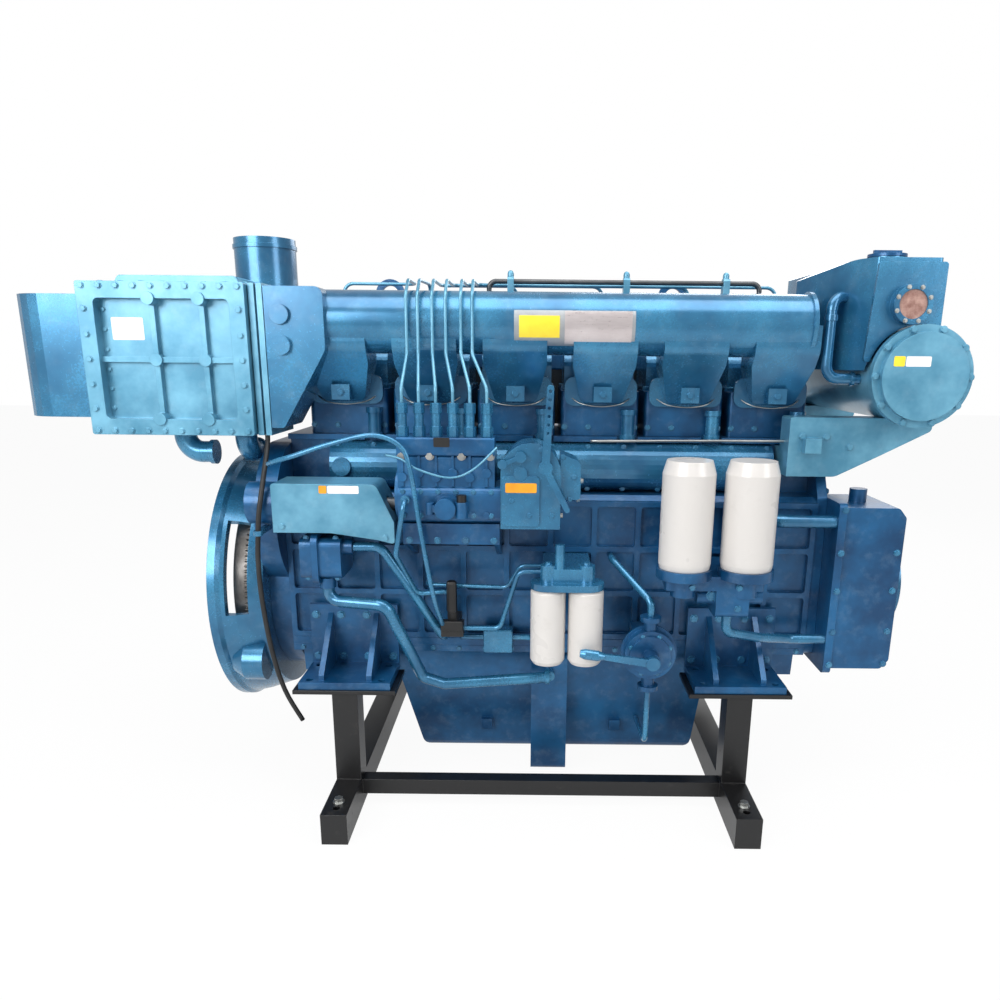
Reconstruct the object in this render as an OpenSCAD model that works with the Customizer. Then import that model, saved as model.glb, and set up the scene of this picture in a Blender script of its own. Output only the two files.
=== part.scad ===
// Six-cylinder marine diesel engine on its transport stand, in millimetres.
// X runs from the flywheel housing's rear face to the crank pulley, -Y is the
// injection pump's side and +Z is up. The crankshaft's axis is the X axis.

/* [Engine block] */
// Distance between neighbouring cylinders
cyl_pitch = 220; // [218:0.5:221]
// Height of the cylinder head deck over the crankshaft
deck_z = 430; // [428:1:432]
// Half the width of the crankcase
case_half = 255; // [253:1:257]
// Depth of the oil pan's sump below the crankshaft
sump_z = 461; // [445:1:475]
// Radius of the main bearing journals
journal_r = 55; // [45:1:60]
// Throw of the crankshaft, half the stroke
crank_throw = 90; // [84:1:92]

/* [Flywheel end] */
// Outer radius of the flywheel housing's flange
housing_r = 355.6; // [352:0.1:360]
// Radius of the flywheel housing's bore
housing_bore_r = 323.85; // [320:0.05:326]
// Radius of the flywheel housing's bolt circle
housing_bolt_r = 339.725; // [338:0.025:341]
// Depth of the flywheel housing
housing_l = 131; // [129:1:133]
// Outer radius of the flywheel without its ring gear
flywheel_r = 292; // [280:1:298]
// Thickness of the flywheel
flywheel_l = 55; // [45:1:58]

/* [Charge air] */
// Radius of the intake manifold's main tube
manifold_r = 75; // [72:1:78]
// Height of the main tube's axis
manifold_z = 710; // [705:1:715]
// Width of each branch of the intake manifold
branch_w = 156; // [146:1:160]
// Depth of the intercooler's front cover
cover_l = 40; // [34:1:46]
// Radius of the exhaust outlet
exhaust_r = 78; // [74:1:80]

/* [Coolers and tank] */
// Radius of the heat exchanger's barrel
exchanger_r = 108; // [104:1:112]
// Width of the oil cooler's cover
cooler_w = 174; // [165:1:182]
// Radius of the sight glass's port
sight_r = 33; // [28:1:36]
// Radius of the crank pulley
pulley_r = 165; // [150:1:175]

/* [Filters and pumps] */
// Radius of an oil filter
oil_can_r = 62; // [58:1:64]
// Height of an oil filter
oil_can_h = 257; // [240:1:270]
// Radius of a fuel filter
fuel_can_r = 43; // [40:1:45]
// Height of a fuel filter
fuel_can_h = 192; // [180:1:205]
// Radius of the hand pump's body
wing_r = 63; // [58:1:66]
// Distance between the injection pump's outlets
outlet_pitch = 40; // [38:0.5:41]
// Radius of an injection pipe
injection_pipe_r = 4; // [3:0.5:5]

/* [Stand] */
// Height of the stand under the engine's feet
stand_h = 330; // [300:1:360]
// Width of the stand's square tube
tube_w = 64; // [56:1:68]

/* [Fits] */
// Clearance between pieces that sit against each other
gap = 0.3; // [0.2:0.05:0.4]
// Radial clearance of turning shafts
run_gap = 0.05; // [0.02:0.01:0.08]

/* [Hidden] */

cyl_count = 6;
cyls = [0:5];
arc_steps = 5;
over = 1;
through = 2 * over;
paint = "steelblue";
fine = 48;

// Plain helpers: boxes, round bars and plates along each axis
function unit(v) = v / norm(v);
function spin2(v, a) = [v.x * cos(a) - v.y * sin(a), v.x * sin(a) + v.y * cos(a)];

// An outline whose corners are rounded, each to its own radius or all to one
function rounded(pts, r) = [for (i = [0:len(pts) - 1])
  let (n = len(pts), p = pts[i], a = unit(pts[(i + n - 1) % n] - p), b = unit(pts[(i + 1) % n] - p),
    half = acos(a * b) / 2, rad = is_list(r) ? r[i] : r, from = p + a * rad / tan(half),
    c = p + unit(a + b) * rad / sin(half), v = from - c,
    turn = rad == 0 ? 0 : sign(cross(v, p + b * rad / tan(half) - c)) * (180 - 2 * half))
  for (s = [0:rad == 0 ? 0 : arc_steps]) rad == 0 ? p : c + spin2(v, turn * s / arc_steps)];

function rect(from, size) = [from, [from.x + size.x, from.y], from + size, [from.x, from.y + size.y]];
function arc(c, r, from, to, steps) = [for (s = [0:steps])
  c + r * [cos(from + (to - from) * s / steps), sin(from + (to - from) * s / steps)]];

module box(from, to) {
  translate(from) cube(to - from);
}

module bar_x(at, r, l) {
  translate(at) rotate([0, 90, 0]) cylinder(h = l, r = r, $fn = fine);
}

module bar_y(at, r, l) {
  translate(at) rotate([-90, 0, 0]) cylinder(h = l, r = r, $fn = fine);
}

module bar_z(at, r, l) {
  translate(at) cylinder(h = l, r = r, $fn = fine);
}

module turned_x(at, outline) {
  translate(at) rotate([0, 90, 0]) rotate_extrude($fn = fine) polygon(outline);
}

module turned_z(at, outline) {
  translate(at) rotate_extrude($fn = fine) polygon(outline);
}

module slab_x(x, l, outline) {
  translate([x, 0, 0]) rotate([90, 0, 90]) linear_extrude(l) polygon(outline);
}

module slab_y(y, l, outline) {
  translate([0, y + l, 0]) rotate([90, 0, 0]) linear_extrude(l) polygon(outline);
}

module slab_z(z, l, outline) {
  translate([0, 0, z]) linear_extrude(l) polygon(outline);
}

// A plate with a grid of pockets that leaves ribs of one width
module grid_plate(from, size, columns, rows, rib, corner) {
  cell = [(size.x - rib * (columns + 1)) / columns, (size.y - rib * (rows + 1)) / rows];
  cells = [for (i = [0:columns - 1]) for (j = [0:rows - 1])
    rounded(rect(from + [rib + i * (cell.x + rib), rib + j * (cell.y + rib)], cell), corner)];
  each_count = 4 * (arc_steps + 1);
  points = concat(rect(from, size), [for (c = cells) for (p = c) p]);
  loops = concat([[0, 1, 2, 3]],
    [for (n = [0:columns * rows - 1]) [for (q = [0:each_count - 1]) 4 + n * each_count + q]]);
  polygon(points, loops);
}

// Bent pipes: straight runs that end a little inside slightly fatter bends
bend_swell = 0.3;
bend_lap = 2;

module rod(a, b, r) {
  d = b - a;
  translate(a) rotate([0, acos(d.z / norm(d)), atan2(d.y, d.x)])
    cylinder(h = norm(d), r = r, $fn = fine);
}

function bend_angle(a, b) = acos(max(-1, min(1, a * b)));

module bend(p, u, v, radius, r) {
  phi = bend_angle(u, v);
  n = unit(v - (u * v) * u);
  w = cross(-n, u);
  c = p - u * radius * tan(phi / 2) + n * radius;
  multmatrix([[-n.x, u.x, w.x, c.x], [-n.y, u.y, w.y, c.y], [-n.z, u.z, w.z, c.z], [0, 0, 0, 1]])
    rotate_extrude(angle = phi, $fn = fine) translate([radius, 0]) circle(r = r, $fn = fine);
}

module pipe(route, r, radius) {
  last = len(route) - 1;
  dirs = [for (i = [0:last - 1]) unit(route[i + 1] - route[i])];
  cuts = [for (i = [0:last]) (i == 0 || i == last) ? 0
    : radius * tan(bend_angle(dirs[i - 1], dirs[i]) / 2) - bend_lap];
  for (i = [0:last - 1]) rod(route[i] + dirs[i] * cuts[i], route[i + 1] - dirs[i] * cuts[i + 1], r);
  if (last > 1) for (i = [1:last - 1]) bend(route[i], dirs[i - 1], dirs[i], radius, r + bend_swell);
}

// Cylinder block: crankcase, shoulders, deck and ribbed sides
gear_case_l = 55;
block_x0 = housing_l + gear_case_l;
rear_wall = 46;
bearing_l = 26;
first_cyl_x = block_x0 + rear_wall + cyl_pitch / 2;
block_x1 = first_cyl_x + (cyl_count - 0.5) * cyl_pitch + bearing_l / 2;
case_z0 = -125;
shoulder_z = 285;
jacket_y = 170;
rib_out = 15;
rib_w = 14;
bay_half = 225;
bay_top_z = 215;
rail_out = 13;
rail_h = 20;
deck_rail = [24, 14];
pocket_r = 8;
rib_rows = 3;
rib_floor = rail_h + 2;

function cyl_x(k) = first_cyl_x + k * cyl_pitch;
function main_x(k) = first_cyl_x + (k - 0.5) * cyl_pitch;

module cylinder_block() {
  color(paint) difference() {
    union() {
      slab_x(block_x0, block_x1 - block_x0, [
        [-case_half - rail_out, case_z0], [-case_half - rail_out, case_z0 + rail_h],
        [-case_half, case_z0 + rail_h + rail_out], [-case_half, shoulder_z - rail_out],
        [-case_half + rail_out, shoulder_z], [-jacket_y, shoulder_z],
        [-jacket_y, deck_z - deck_rail.y], [-jacket_y - deck_rail.x, deck_z - deck_rail.y],
        [-jacket_y - deck_rail.x, deck_z], [jacket_y + deck_rail.x, deck_z],
        [jacket_y + deck_rail.x, deck_z - deck_rail.y], [jacket_y, deck_z - deck_rail.y],
        [jacket_y, shoulder_z], [case_half - rail_out, shoulder_z],
        [case_half, shoulder_z - rail_out], [case_half, case_z0 + rail_h + rail_out],
        [case_half + rail_out, case_z0 + rail_h], [case_half + rail_out, case_z0]]);
      for (side = [-1, 1])
        translate([0, side * (case_half + (rib_out - over) / 2), 0]) rotate([90, 0, 0])
          linear_extrude(rib_out + over, center = true)
            grid_plate([block_x0, case_z0 + rib_floor],
              [block_x1 - block_x0, shoulder_z - rail_out - case_z0 - rib_floor],
              2 * cyl_count, rib_rows, rib_w, pocket_r);
    }
    for (k = cyls)
      box([main_x(k) + bearing_l / 2, -bay_half, case_z0 - over],
        [main_x(k + 1) - bearing_l / 2, bay_half, bay_top_z]);
    bar_x([block_x0 - over, 0, 0], journal_r + run_gap, block_x1 - block_x0 + through);
    for (k = cyls)
      box([cyl_x(k) + tube_at_x - tube_notch, -jacket_y - deck_rail.x - over,
        deck_z - deck_rail.y - over],
        [cyl_x(k) + tube_at_x + tube_notch, -jacket_y, deck_z + over]);
  }
}

// Cam chest: the long half-round cover on the pump's side
chest_r = 64;
chest_x0 = 300;
chest_x1 = block_x1 - 112;
chest_z = 350;
chest_cap_r = 24;
chest_cap_l = 8;

module cam_chest() {
  color(paint) {
    slab_x(chest_x0, chest_x1 - chest_x0, concat(
      arc([-jacket_y - gap, chest_z], chest_r, 90, 270, 16)));
    bar_y([chest_x0 + chest_cap_r + chest_cap_l, -jacket_y - chest_r - chest_cap_l, chest_z],
      chest_cap_r, chest_cap_l + chest_r / 2);
  }
}

// Oil pan: shallow ends, a deep sump and the pump's vertical trunk
pan_flange = 18;
pan_half = case_half - 13;
pan_bottom_half = pan_half - 37;
pan_shallow_z = -215;
sump_share = [0.2, 0.248, 0.795, 0.815];
pan_round = [0, 0, 14, 36, 36, 14, 0, 0];
trunk_x = [829, 927];
trunk_y = [-268, -190];
trunk_z = [-495, -150];
pan_l = block_x1 - block_x0;
pad_w = 30;
pan_inner = 188;
pan_wall_x = 40;
pan_wall_z = 16;
pad_x = [690, 1050];
pad_z = -375;
pad_out = 10;

function pan_x(share) = block_x0 + share * pan_l;

module oil_pan() {
  top = case_z0 - gap;
  color(paint) difference() {
    union() {
    box([block_x0, -case_half - rail_out, top - pan_flange], [block_x1, case_half + rail_out, top]);
    intersection() {
      slab_y(-pan_half, 2 * pan_half, rounded([
        [block_x0 + pan_flange, top - over], [block_x0 + pan_flange, pan_shallow_z],
        [pan_x(sump_share[0]), pan_shallow_z], [pan_x(sump_share[1]), -sump_z],
        [pan_x(sump_share[2]), -sump_z], [pan_x(sump_share[3]), pan_shallow_z],
        [block_x1 - pan_flange, pan_shallow_z], [block_x1 - pan_flange, top - over]], pan_round));
      slab_x(block_x0, pan_l, rounded([
        [-pan_half, top - over], [-pan_bottom_half, -sump_z], [pan_bottom_half, -sump_z],
        [pan_half, top - over]], [0, pan_flange * 2, pan_flange * 2, 0]));
    }
    slab_x(trunk_x[0], trunk_x[1] - trunk_x[0], rounded([
      [trunk_y[0], trunk_z[1]], [trunk_y[0], trunk_z[0]], [trunk_y[1], trunk_z[0]],
      [trunk_y[1], trunk_z[1]]], [pan_flange, pan_flange, 0, 0]));
    for (x = pad_x)
      box([x, -pan_half + pad_out, pad_z - pad_w / 2], [x + pad_w, -pan_bottom_half, pad_z + pad_w / 2]);
    }
    box([block_x0 + pan_wall_x, -pan_inner, pan_shallow_z + pan_wall_z],
      [block_x1 - pan_wall_x, pan_inner, top + over]);
    box([pan_x(sump_share[1]), -pan_inner, -sump_z + pan_wall_z],
      [pan_x(sump_share[2]), pan_inner, top + over]);
  }
}

// Cylinder heads, one to a cylinder, with their ports on both sides
head_gap = 16;
head_h = 115;
head_half = 165;
head_round = 12;
head_top_z = deck_z + gap + head_h;

module cylinder_heads() {
  color(paint) for (k = cyls)
    slab_z(deck_z + gap, head_h, rounded(rect(
      [cyl_x(k) - (cyl_pitch - head_gap) / 2, -head_half], [cyl_pitch - head_gap, 2 * head_half]),
      head_round));
}

// Rocker covers: a rounded lid over each head
rocker_h = 95;
rocker_half = [-95, 116];
rocker_l = 186;
rocker_lip = [8, 10];

module rocker_covers() {
  color(paint) for (k = cyls) {
    z0 = head_top_z + gap;
    box([cyl_x(k) - rocker_l / 2 - rocker_lip.x, rocker_half[0] - rocker_lip.x, z0],
      [cyl_x(k) + rocker_l / 2 + rocker_lip.x, rocker_half[1] + rocker_lip.x, z0 + rocker_lip.y]);
    slab_x(cyl_x(k) - rocker_l / 2, rocker_l, rounded([
      [rocker_half[0], z0], [rocker_half[1], z0], [rocker_half[1], z0 + rocker_h],
      [rocker_half[0], z0 + rocker_h]], [0, 0, rocker_h * 0.35, rocker_h * 0.35]));
  }
}

// Push rod tubes between the cam chest and the heads
tube_at_x = 72;
tube_r = 17;
tube_cap = [21, 14];
tube_notch = 27;
tube_h = 86;

module push_rod_tubes() {
  z0 = chest_z + chest_r + gap;
  y = -jacket_y - tube_cap.x - gap;
  color(paint) for (k = cyls) {
    bar_z([cyl_x(k) + tube_at_x, y, z0 + tube_r / 2], tube_r, tube_h - tube_r / 2);
    bar_z([cyl_x(k) + tube_at_x, y, z0 + tube_r / 2], tube_cap.x, tube_cap.y);
    bar_z([cyl_x(k) + tube_at_x, y, z0 + tube_h - tube_cap.y], tube_cap.x, tube_cap.y);
  }
}

// Crankshaft: journals, throws 120 degrees apart, rear flange and front nose
crank_flange_r = 86;
crank_flange_l = 22;
crank_x0 = housing_l - 31;
pin_r = 45;
web_t = 34;
journal_w = 30;
web_end_r = 60;
web_r = 140;
nose_r = 45;
nose_x1 = 1862;
throw_turns = [0, 120, 240, 240, 120, 0];
web_angle = 62;

module web(x, turn) {
  rotate([turn, 0, 0])
    slab_x(x, web_t, concat(arc([0, crank_throw], web_end_r, 10, 170, 8),
      arc([0, 0], web_r, 180 + (90 - web_angle), 360 - (90 - web_angle), 10)));
}

module crankshaft() {
  color("slategray") {
    bar_x([crank_x0, 0, 0], crank_flange_r, crank_flange_l);
    bar_x([crank_x0, 0, 0], journal_r, main_x(0) + journal_w - crank_x0);
    for (k = [1:cyl_count - 1]) bar_x([main_x(k) - journal_w, 0, 0], journal_r, 2 * journal_w);
    bar_x([main_x(cyl_count) - journal_w, 0, 0], journal_r, journal_w + bearing_l);
    bar_x([main_x(cyl_count), 0, 0], nose_r, nose_x1 - main_x(cyl_count));
    for (k = cyls) {
      web(main_x(k) + journal_w - over, throw_turns[k]);
      web(main_x(k + 1) - journal_w - web_t + over, throw_turns[k]);
      rotate([throw_turns[k], 0, 0])
        bar_x([main_x(k) + journal_w, 0, crank_throw], pin_r, cyl_pitch - 2 * journal_w);
    }
  }
}

// Flywheel with its ring gear, drilled for a drive coupling
pilot_r = 233.35;
pilot_l = 16;
drive_bolt_r = 219.075;
drive_bolt_count = 8;
drive_hole_r = 7;
ring_teeth = 132;
ring_root_r = flywheel_r + 6;
ring_tip_r = flywheel_r + 14;
ring_l = 22;
flywheel_x0 = crank_x0 - flywheel_l;
tooth_shares = [0, 0.22, 0.36, 0.58];

module flywheel() {
  step = 360 / ring_teeth;
  teeth = [for (k = [0:ring_teeth - 1]) for (q = [0:3])
    (q == 0 || q == 3 ? ring_root_r : ring_tip_r)
      * [cos((k + tooth_shares[q]) * step), sin((k + tooth_shares[q]) * step)]];
  color("slategray") difference() {
    union() {
      bar_x([flywheel_x0, 0, 0], flywheel_r, flywheel_l - gap);
      slab_x(crank_x0 - ring_l - gap, ring_l, teeth);
    }
    bar_x([flywheel_x0 - over, 0, 0], pilot_r, pilot_l + over);
    for (k = [0:drive_bolt_count - 1]) rotate([k * 360 / drive_bolt_count, 0, 0])
      bar_x([flywheel_x0, 0, drive_bolt_r], drive_hole_r, flywheel_l + over);
    bar_x([flywheel_x0, 0, 0], nose_r, flywheel_l + over);
  }
}

// Crank pulley and vibration damper on the crankshaft's nose
pulley_x = [1800, 1876];
groove_depth = 12;
groove_count = 3;
damper_share = [0.42, 0.82];

module crank_pulley() {
  l = pulley_x[1] - pulley_x[0];
  pitch = l * 0.5 / groove_count;
  rim = [for (k = [0:groove_count - 1]) for (q = [[0.15, 0], [0.35, 1], [0.65, 1], [0.85, 0]])
    [pulley_r - q[1] * groove_depth, (k + q[0]) * pitch]];
  color(paint) difference() {
    turned_x([pulley_x[0], 0, 0], concat([[0, 0]], [[pulley_r, 0]], rim, [[pulley_r, l * 0.55],
      [pulley_r * damper_share[1], l * 0.6], [pulley_r * damper_share[1], l * 0.9],
      [pulley_r * damper_share[0], l * 0.9], [pulley_r * damper_share[0], l], [0, l]]));
    bar_x([pulley_x[0] - over, 0, 0], nose_r + run_gap, nose_x1 - pulley_x[0] + over);
  }
}

// Flywheel housing: a bell with windows, its flange and the starter's nose
flange_l = 20;
bell_r = housing_r - 15.6;
bell_front_r = housing_r - 37.6;
wall_l = 14;
housing_bolt_count = 16;
housing_hole_r = 6.75;
hole_l = 26;
window_turns = [for (k = [0:6]) 52 + k * 7];
blister_at = [0, -292, -164];
blister_x = [27, 122];
blister_r = 52;

module flywheel_housing() {
  x1 = housing_l - gap;
  color(paint) difference() {
    union() {
      turned_x([0, 0, 0], [[0, 0], [housing_r, 0], [housing_r, flange_l], [bell_r + 8, flange_l + 10],
        [bell_r, housing_l * 0.5], [bell_front_r, x1], [0, x1]]);
      turned_x(blister_at, [[0, blister_x.x], [blister_r * 0.6, blister_x.x + blister_r * 0.2],
        [blister_r, blister_x.x + blister_r * 0.8], [blister_r, blister_x.y], [0, blister_x.y]]);
    }
    turned_x([0, 0, 0], [[0, -over], [housing_bore_r, -over], [housing_bore_r, housing_l * 0.5],
      [bell_front_r - wall_l / 2, x1 - wall_l], [crank_flange_r + wall_l, x1 - wall_l],
      [crank_flange_r + wall_l, x1 + over], [0, x1 + over]]);
    for (k = [0:housing_bolt_count - 1]) rotate([(k + 0.5) * 360 / housing_bolt_count, 0, 0])
      bar_x([-over, 0, housing_bolt_r], housing_hole_r, hole_l + over);
    slab_x(flange_l * 2, housing_l * 0.72 - flange_l * 2, concat(
      [for (turn = window_turns) bell_front_r * 0.9 * [-sin(turn), cos(turn)]],
      [for (k = [len(window_turns) - 1:-1:0])
        housing_r * 1.1 * [-sin(window_turns[k]), cos(window_turns[k])]]));
  }
}

// Gear case between the block and the flywheel housing
drive_y = -350;
drive_z = 275;
drive_shaft_r = 17;
case_bulge = [-148, 215];
case_bulge_r = 190;
case_low_r = 262;
drive_boss_r = 52;
drive_boss_l = 14;

module gear_case() {
  l = gear_case_l - gap;
  color(paint) difference() {
    union() {
      bar_x([housing_l, 0, 0], case_low_r, l);
      bar_x([housing_l, case_bulge.x, case_bulge.y], case_bulge_r, l);
      box([housing_l, case_bulge.x, 0], [housing_l + l, jacket_y, case_bulge.y + case_bulge_r]);
      bar_x([housing_l, drive_y, drive_z], drive_boss_r, gear_case_l + drive_boss_l);
    }
    bar_x([housing_l - over, 0, 0], journal_r + run_gap, gear_case_l + through);
    bar_x([housing_l + wall_l, drive_y, drive_z], drive_shaft_r + run_gap,
      gear_case_l + drive_boss_l + over);
    bar_x([housing_l - over, 0, 0], crank_flange_r + wall_l, wall_l);
  }
}

// Front cover: closes the block's pulley end
front_l = 26;
front_ear_z = [218, -104];
front_ear_r = 22;
front_x1 = block_x1 + front_l;
ear_x = 1790;

module front_cover() {
  color(paint) difference() {
    union() {
      slab_x(block_x1 + gap, front_l, rounded([
        [-case_half - rail_out, case_z0 - pan_flange], [case_half + rail_out, case_z0 - pan_flange],
        [case_half, shoulder_z], [jacket_y, deck_z], [-jacket_y, deck_z],
        [-case_half, shoulder_z]], 20));
      for (z = front_ear_z)
        slab_z(z - front_ear_r, 2 * front_ear_r, [[front_x1 - over, -120], [front_x1 - over, -64],
          [ear_x, -64], [ear_x, -120]]);
    }
    bar_x([block_x1, 0, 0], nose_r + run_gap, front_l + through);
    bar_x([block_x1 - over, 0, 0], journal_r + wall_l / 2, wall_l + over);
  }
}

// Engine feet: four bolted brackets with two gussets each
foot_x = [[241, 473], [1243, 1475]];
foot_z = [-189, -170];
foot_top_z = -8;
foot_out = 430;
foot_back = 16;
foot_gusset = 14;
foot_gusset_share = [0.24, 0.76];
foot_hole_r = 9;
foot_hole_dx = 92;
foot_hole_y = [310, 410];
foot_in = case_half + rib_out + gap;

module engine_foot(x) {
  mid = (x[0] + x[1]) / 2;
  difference() {
    union() {
      box([x[0], -foot_out, foot_z[0]], [x[1], -foot_in, foot_z[1]]);
      box([x[0], -foot_in - foot_back, foot_z[0]], [x[1], -foot_in, foot_top_z]);
      for (share = foot_gusset_share)
        slab_x(x[0] + share * (x[1] - x[0]) - foot_gusset / 2, foot_gusset, [
          [-foot_in - foot_back / 2, foot_z[1] - over], [-foot_out + foot_gusset, foot_z[1] - over],
          [-foot_out + foot_gusset, foot_z[1] + foot_gusset],
          [-foot_in - foot_back / 2, foot_top_z - foot_gusset]]);
    }
    for (dx = [-foot_hole_dx, foot_hole_dx]) for (y = foot_hole_y)
      bar_z([mid + dx, -y, foot_z[0] - over], foot_hole_r, foot_z[1] - foot_z[0] + through);
  }
}

module engine_feet() {
  color(paint) for (x = foot_x) {
    engine_foot(x);
    mirror([0, 1, 0]) engine_foot(x);
  }
}

// Intake manifold: main tube, bell-shaped branches and the inlet box
manifold_y = -240;
manifold_x0 = 290;
manifold_x1 = 1505;
branch_z0 = 515;
branch_in = -head_half - gap;
branch_y0 = [-206, -236, -304];
branch_front_z = [515, 556, 650];
branch_foot_w = 104;
lip_h = 74;
lip_w = 188;
lip_t = 15;
branch_cap = [46, 38, 12];
branch_cap_z = 540;
inlet_x0 = 190;
inlet_z = [456, 786];
inlet_y = [-328, -178];
inlet_boss_r = 23;
inlet_boss = [216, 12];
inlet_boss_z = [652, 722];
end_rim = [6, 10];

module intake_manifold() {
  color(paint) {
    bar_x([manifold_x0 - 30, manifold_y, manifold_z], manifold_r, manifold_x1 - manifold_x0 + 30);
    bar_x([manifold_x1 - end_rim.y, manifold_y, manifold_z], manifold_r + end_rim.x, end_rim.y);
    for (k = cyls) {
      x = cyl_x(k);
      intersection() {
        slab_y(branch_y0[2] - over, branch_in - branch_y0[2] + over, rounded([
          [x - branch_w / 2, manifold_z], [x - branch_w / 2, branch_front_z[2] - 40],
          [x - branch_foot_w / 2, branch_z0], [x + branch_foot_w / 2, branch_z0],
          [x + branch_w / 2, branch_front_z[2] - 40], [x + branch_w / 2, manifold_z]],
          [0, 30, 24, 24, 30, 0]));
        slab_x(x - branch_w, 2 * branch_w, rounded([
          [branch_in, branch_z0], [branch_y0[0], branch_front_z[0]],
          [branch_y0[1], branch_front_z[1]], [branch_y0[2], branch_front_z[2]],
          [branch_y0[2], manifold_z], [branch_in, manifold_z]], [0, 10, 60, 40, 0, 0]));
      }
      slab_y(branch_in - lip_t, lip_t, rounded(
        rect([x - lip_w / 2, branch_z0 - lip_t / 2], [lip_w, lip_h]), lip_h / 3));
      box([x - branch_cap.x / 2, branch_y0[1] - branch_cap.z, branch_cap_z - branch_cap.y / 2],
        [x + branch_cap.x / 2, branch_y0[0], branch_cap_z + branch_cap.y / 2]);
    }
    slab_y(inlet_y[0], inlet_y[1] - inlet_y[0], rounded([
      [inlet_x0, inlet_z[0]], [inlet_x0 + 30, inlet_z[0]],
      [manifold_x0 + 40, manifold_z - manifold_r + 6], [manifold_x0 + 40, inlet_z[1]],
      [inlet_x0, inlet_z[1]]], [0, 10, 30, 20, 0]));
    for (z = inlet_boss_z)
      bar_y([inlet_x0 + inlet_boss_r * 1.6, inlet_y[0] - inlet_boss.y, z], inlet_boss_r, inlet_boss.y + over);
  }
}

// Clips that hold the leak-off pipe on the manifold
leak_r = 6;
leak_y = -190;
leak_z = 812;
leak_x = [714, 1390];
clip_x = [768, 1057, 1305];
clip_half = 8;
clip_y = [-205, -176];
clip_top_z = 823;
dome_h = 9;

function on_tube(y) = manifold_z + sqrt(pow(manifold_r, 2) - pow(y - manifold_y, 2));

module manifold_clips() {
  color(paint) for (x = clip_x) {
    difference() {
      slab_x(x - clip_half, 2 * clip_half, rounded([
        [clip_y[0], on_tube(clip_y[0]) + gap], [clip_y[1], on_tube(clip_y[0]) + gap],
        [clip_y[1], clip_top_z], [clip_y[0], clip_top_z]], [0, 0, 8, 8]));
      bar_x([x - clip_half - over, leak_y, leak_z], leak_r + gap, 2 * clip_half + through);
    }
    bar_z([x, leak_y, clip_top_z - over], clip_half, dome_h);
    translate([x, leak_y, clip_top_z + dome_h - over]) sphere(r = clip_half - gap, $fn = fine);
  }
}

// Leak-off pipe along the manifold's top
leak_bend = 18;

module leak_off_pipe() {
  foot_z = on_tube(leak_y - leak_r) + gap;
  color("dimgray") pipe([[leak_x[0], leak_y, foot_z], [leak_x[0], leak_y, leak_z],
    [leak_x[1], leak_y, leak_z], [leak_x[1], leak_y, foot_z]], leak_r, leak_bend);
}

// Lifting eyes on the cylinder heads' far side
eye_x = [410, 1226];
eye_y = [131, 145];
eye_half = 30;
eye_z = 800;
eye_out_r = 42;
eye_hole_r = 24;

module lifting_eyes() {
  color(paint) for (x = eye_x) difference() {
    union() {
      box([x - eye_half, eye_y[0], head_top_z + gap], [x + eye_half, eye_y[1], eye_z]);
      bar_y([x, eye_y[0], eye_z], eye_out_r, eye_y[1] - eye_y[0]);
    }
    bar_y([x, eye_y[0] - over, eye_z], eye_hole_r, eye_y[1] - eye_y[0] + through);
  }
}

// Intercooler: a deep housing behind a ribbed cover
cooler_x = [-225, 155];
cooler_z = [438, 792];
cooler_y = [-305, -148];
lid_rim = 16;
cooler_flange_t = 14;
side_flange_x = [155, 188];

module intercooler_housing() {
  color(paint) {
    box([cooler_x[0], cooler_y[0], cooler_z[0] + lid_rim],
      [cooler_x[1], cooler_y[1], cooler_z[1] - lid_rim]);
    box([cooler_x[0] - lid_rim, cooler_y[0], cooler_z[0]],
      [cooler_x[1], cooler_y[0] + cooler_flange_t, cooler_z[1]]);
    slab_y(cooler_y[0] + cooler_flange_t, cooler_y[1] - cooler_y[0] - cooler_flange_t * 2, rounded([
      [cooler_x[0] + 40, cooler_z[1] - lid_rim - over],
      [cooler_x[1] - 20, cooler_z[1] - lid_rim - over],
      [cooler_x[1] - 40, cooler_z[1] + 18], [cooler_x[0] + 60, cooler_z[1] + 18]], [0, 0, 12, 12]));
    for (x = [side_flange_x[0], side_flange_x[1] - cooler_flange_t])
      box([x, cooler_y[0] - 22, cooler_z[0]], [x + cooler_flange_t, cooler_y[1], cooler_z[1]]);
    box([side_flange_x[0], cooler_y[0] - 8, cooler_z[0] + lid_rim],
      [side_flange_x[1], cooler_y[1], cooler_z[1] - lid_rim]);
  }
}

// Intercooler cover with its grid of pockets and bosses
cover_x = [-241, 152];
cover_rim = 38;
cover_floor_t = 14;
cover_rib = 13;
cover_shares = [0.41, 0.78];
cover_rows = 2;
cover_boss_r = 15;
cover_boss_h = 5;
cover_corner = 12;

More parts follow.
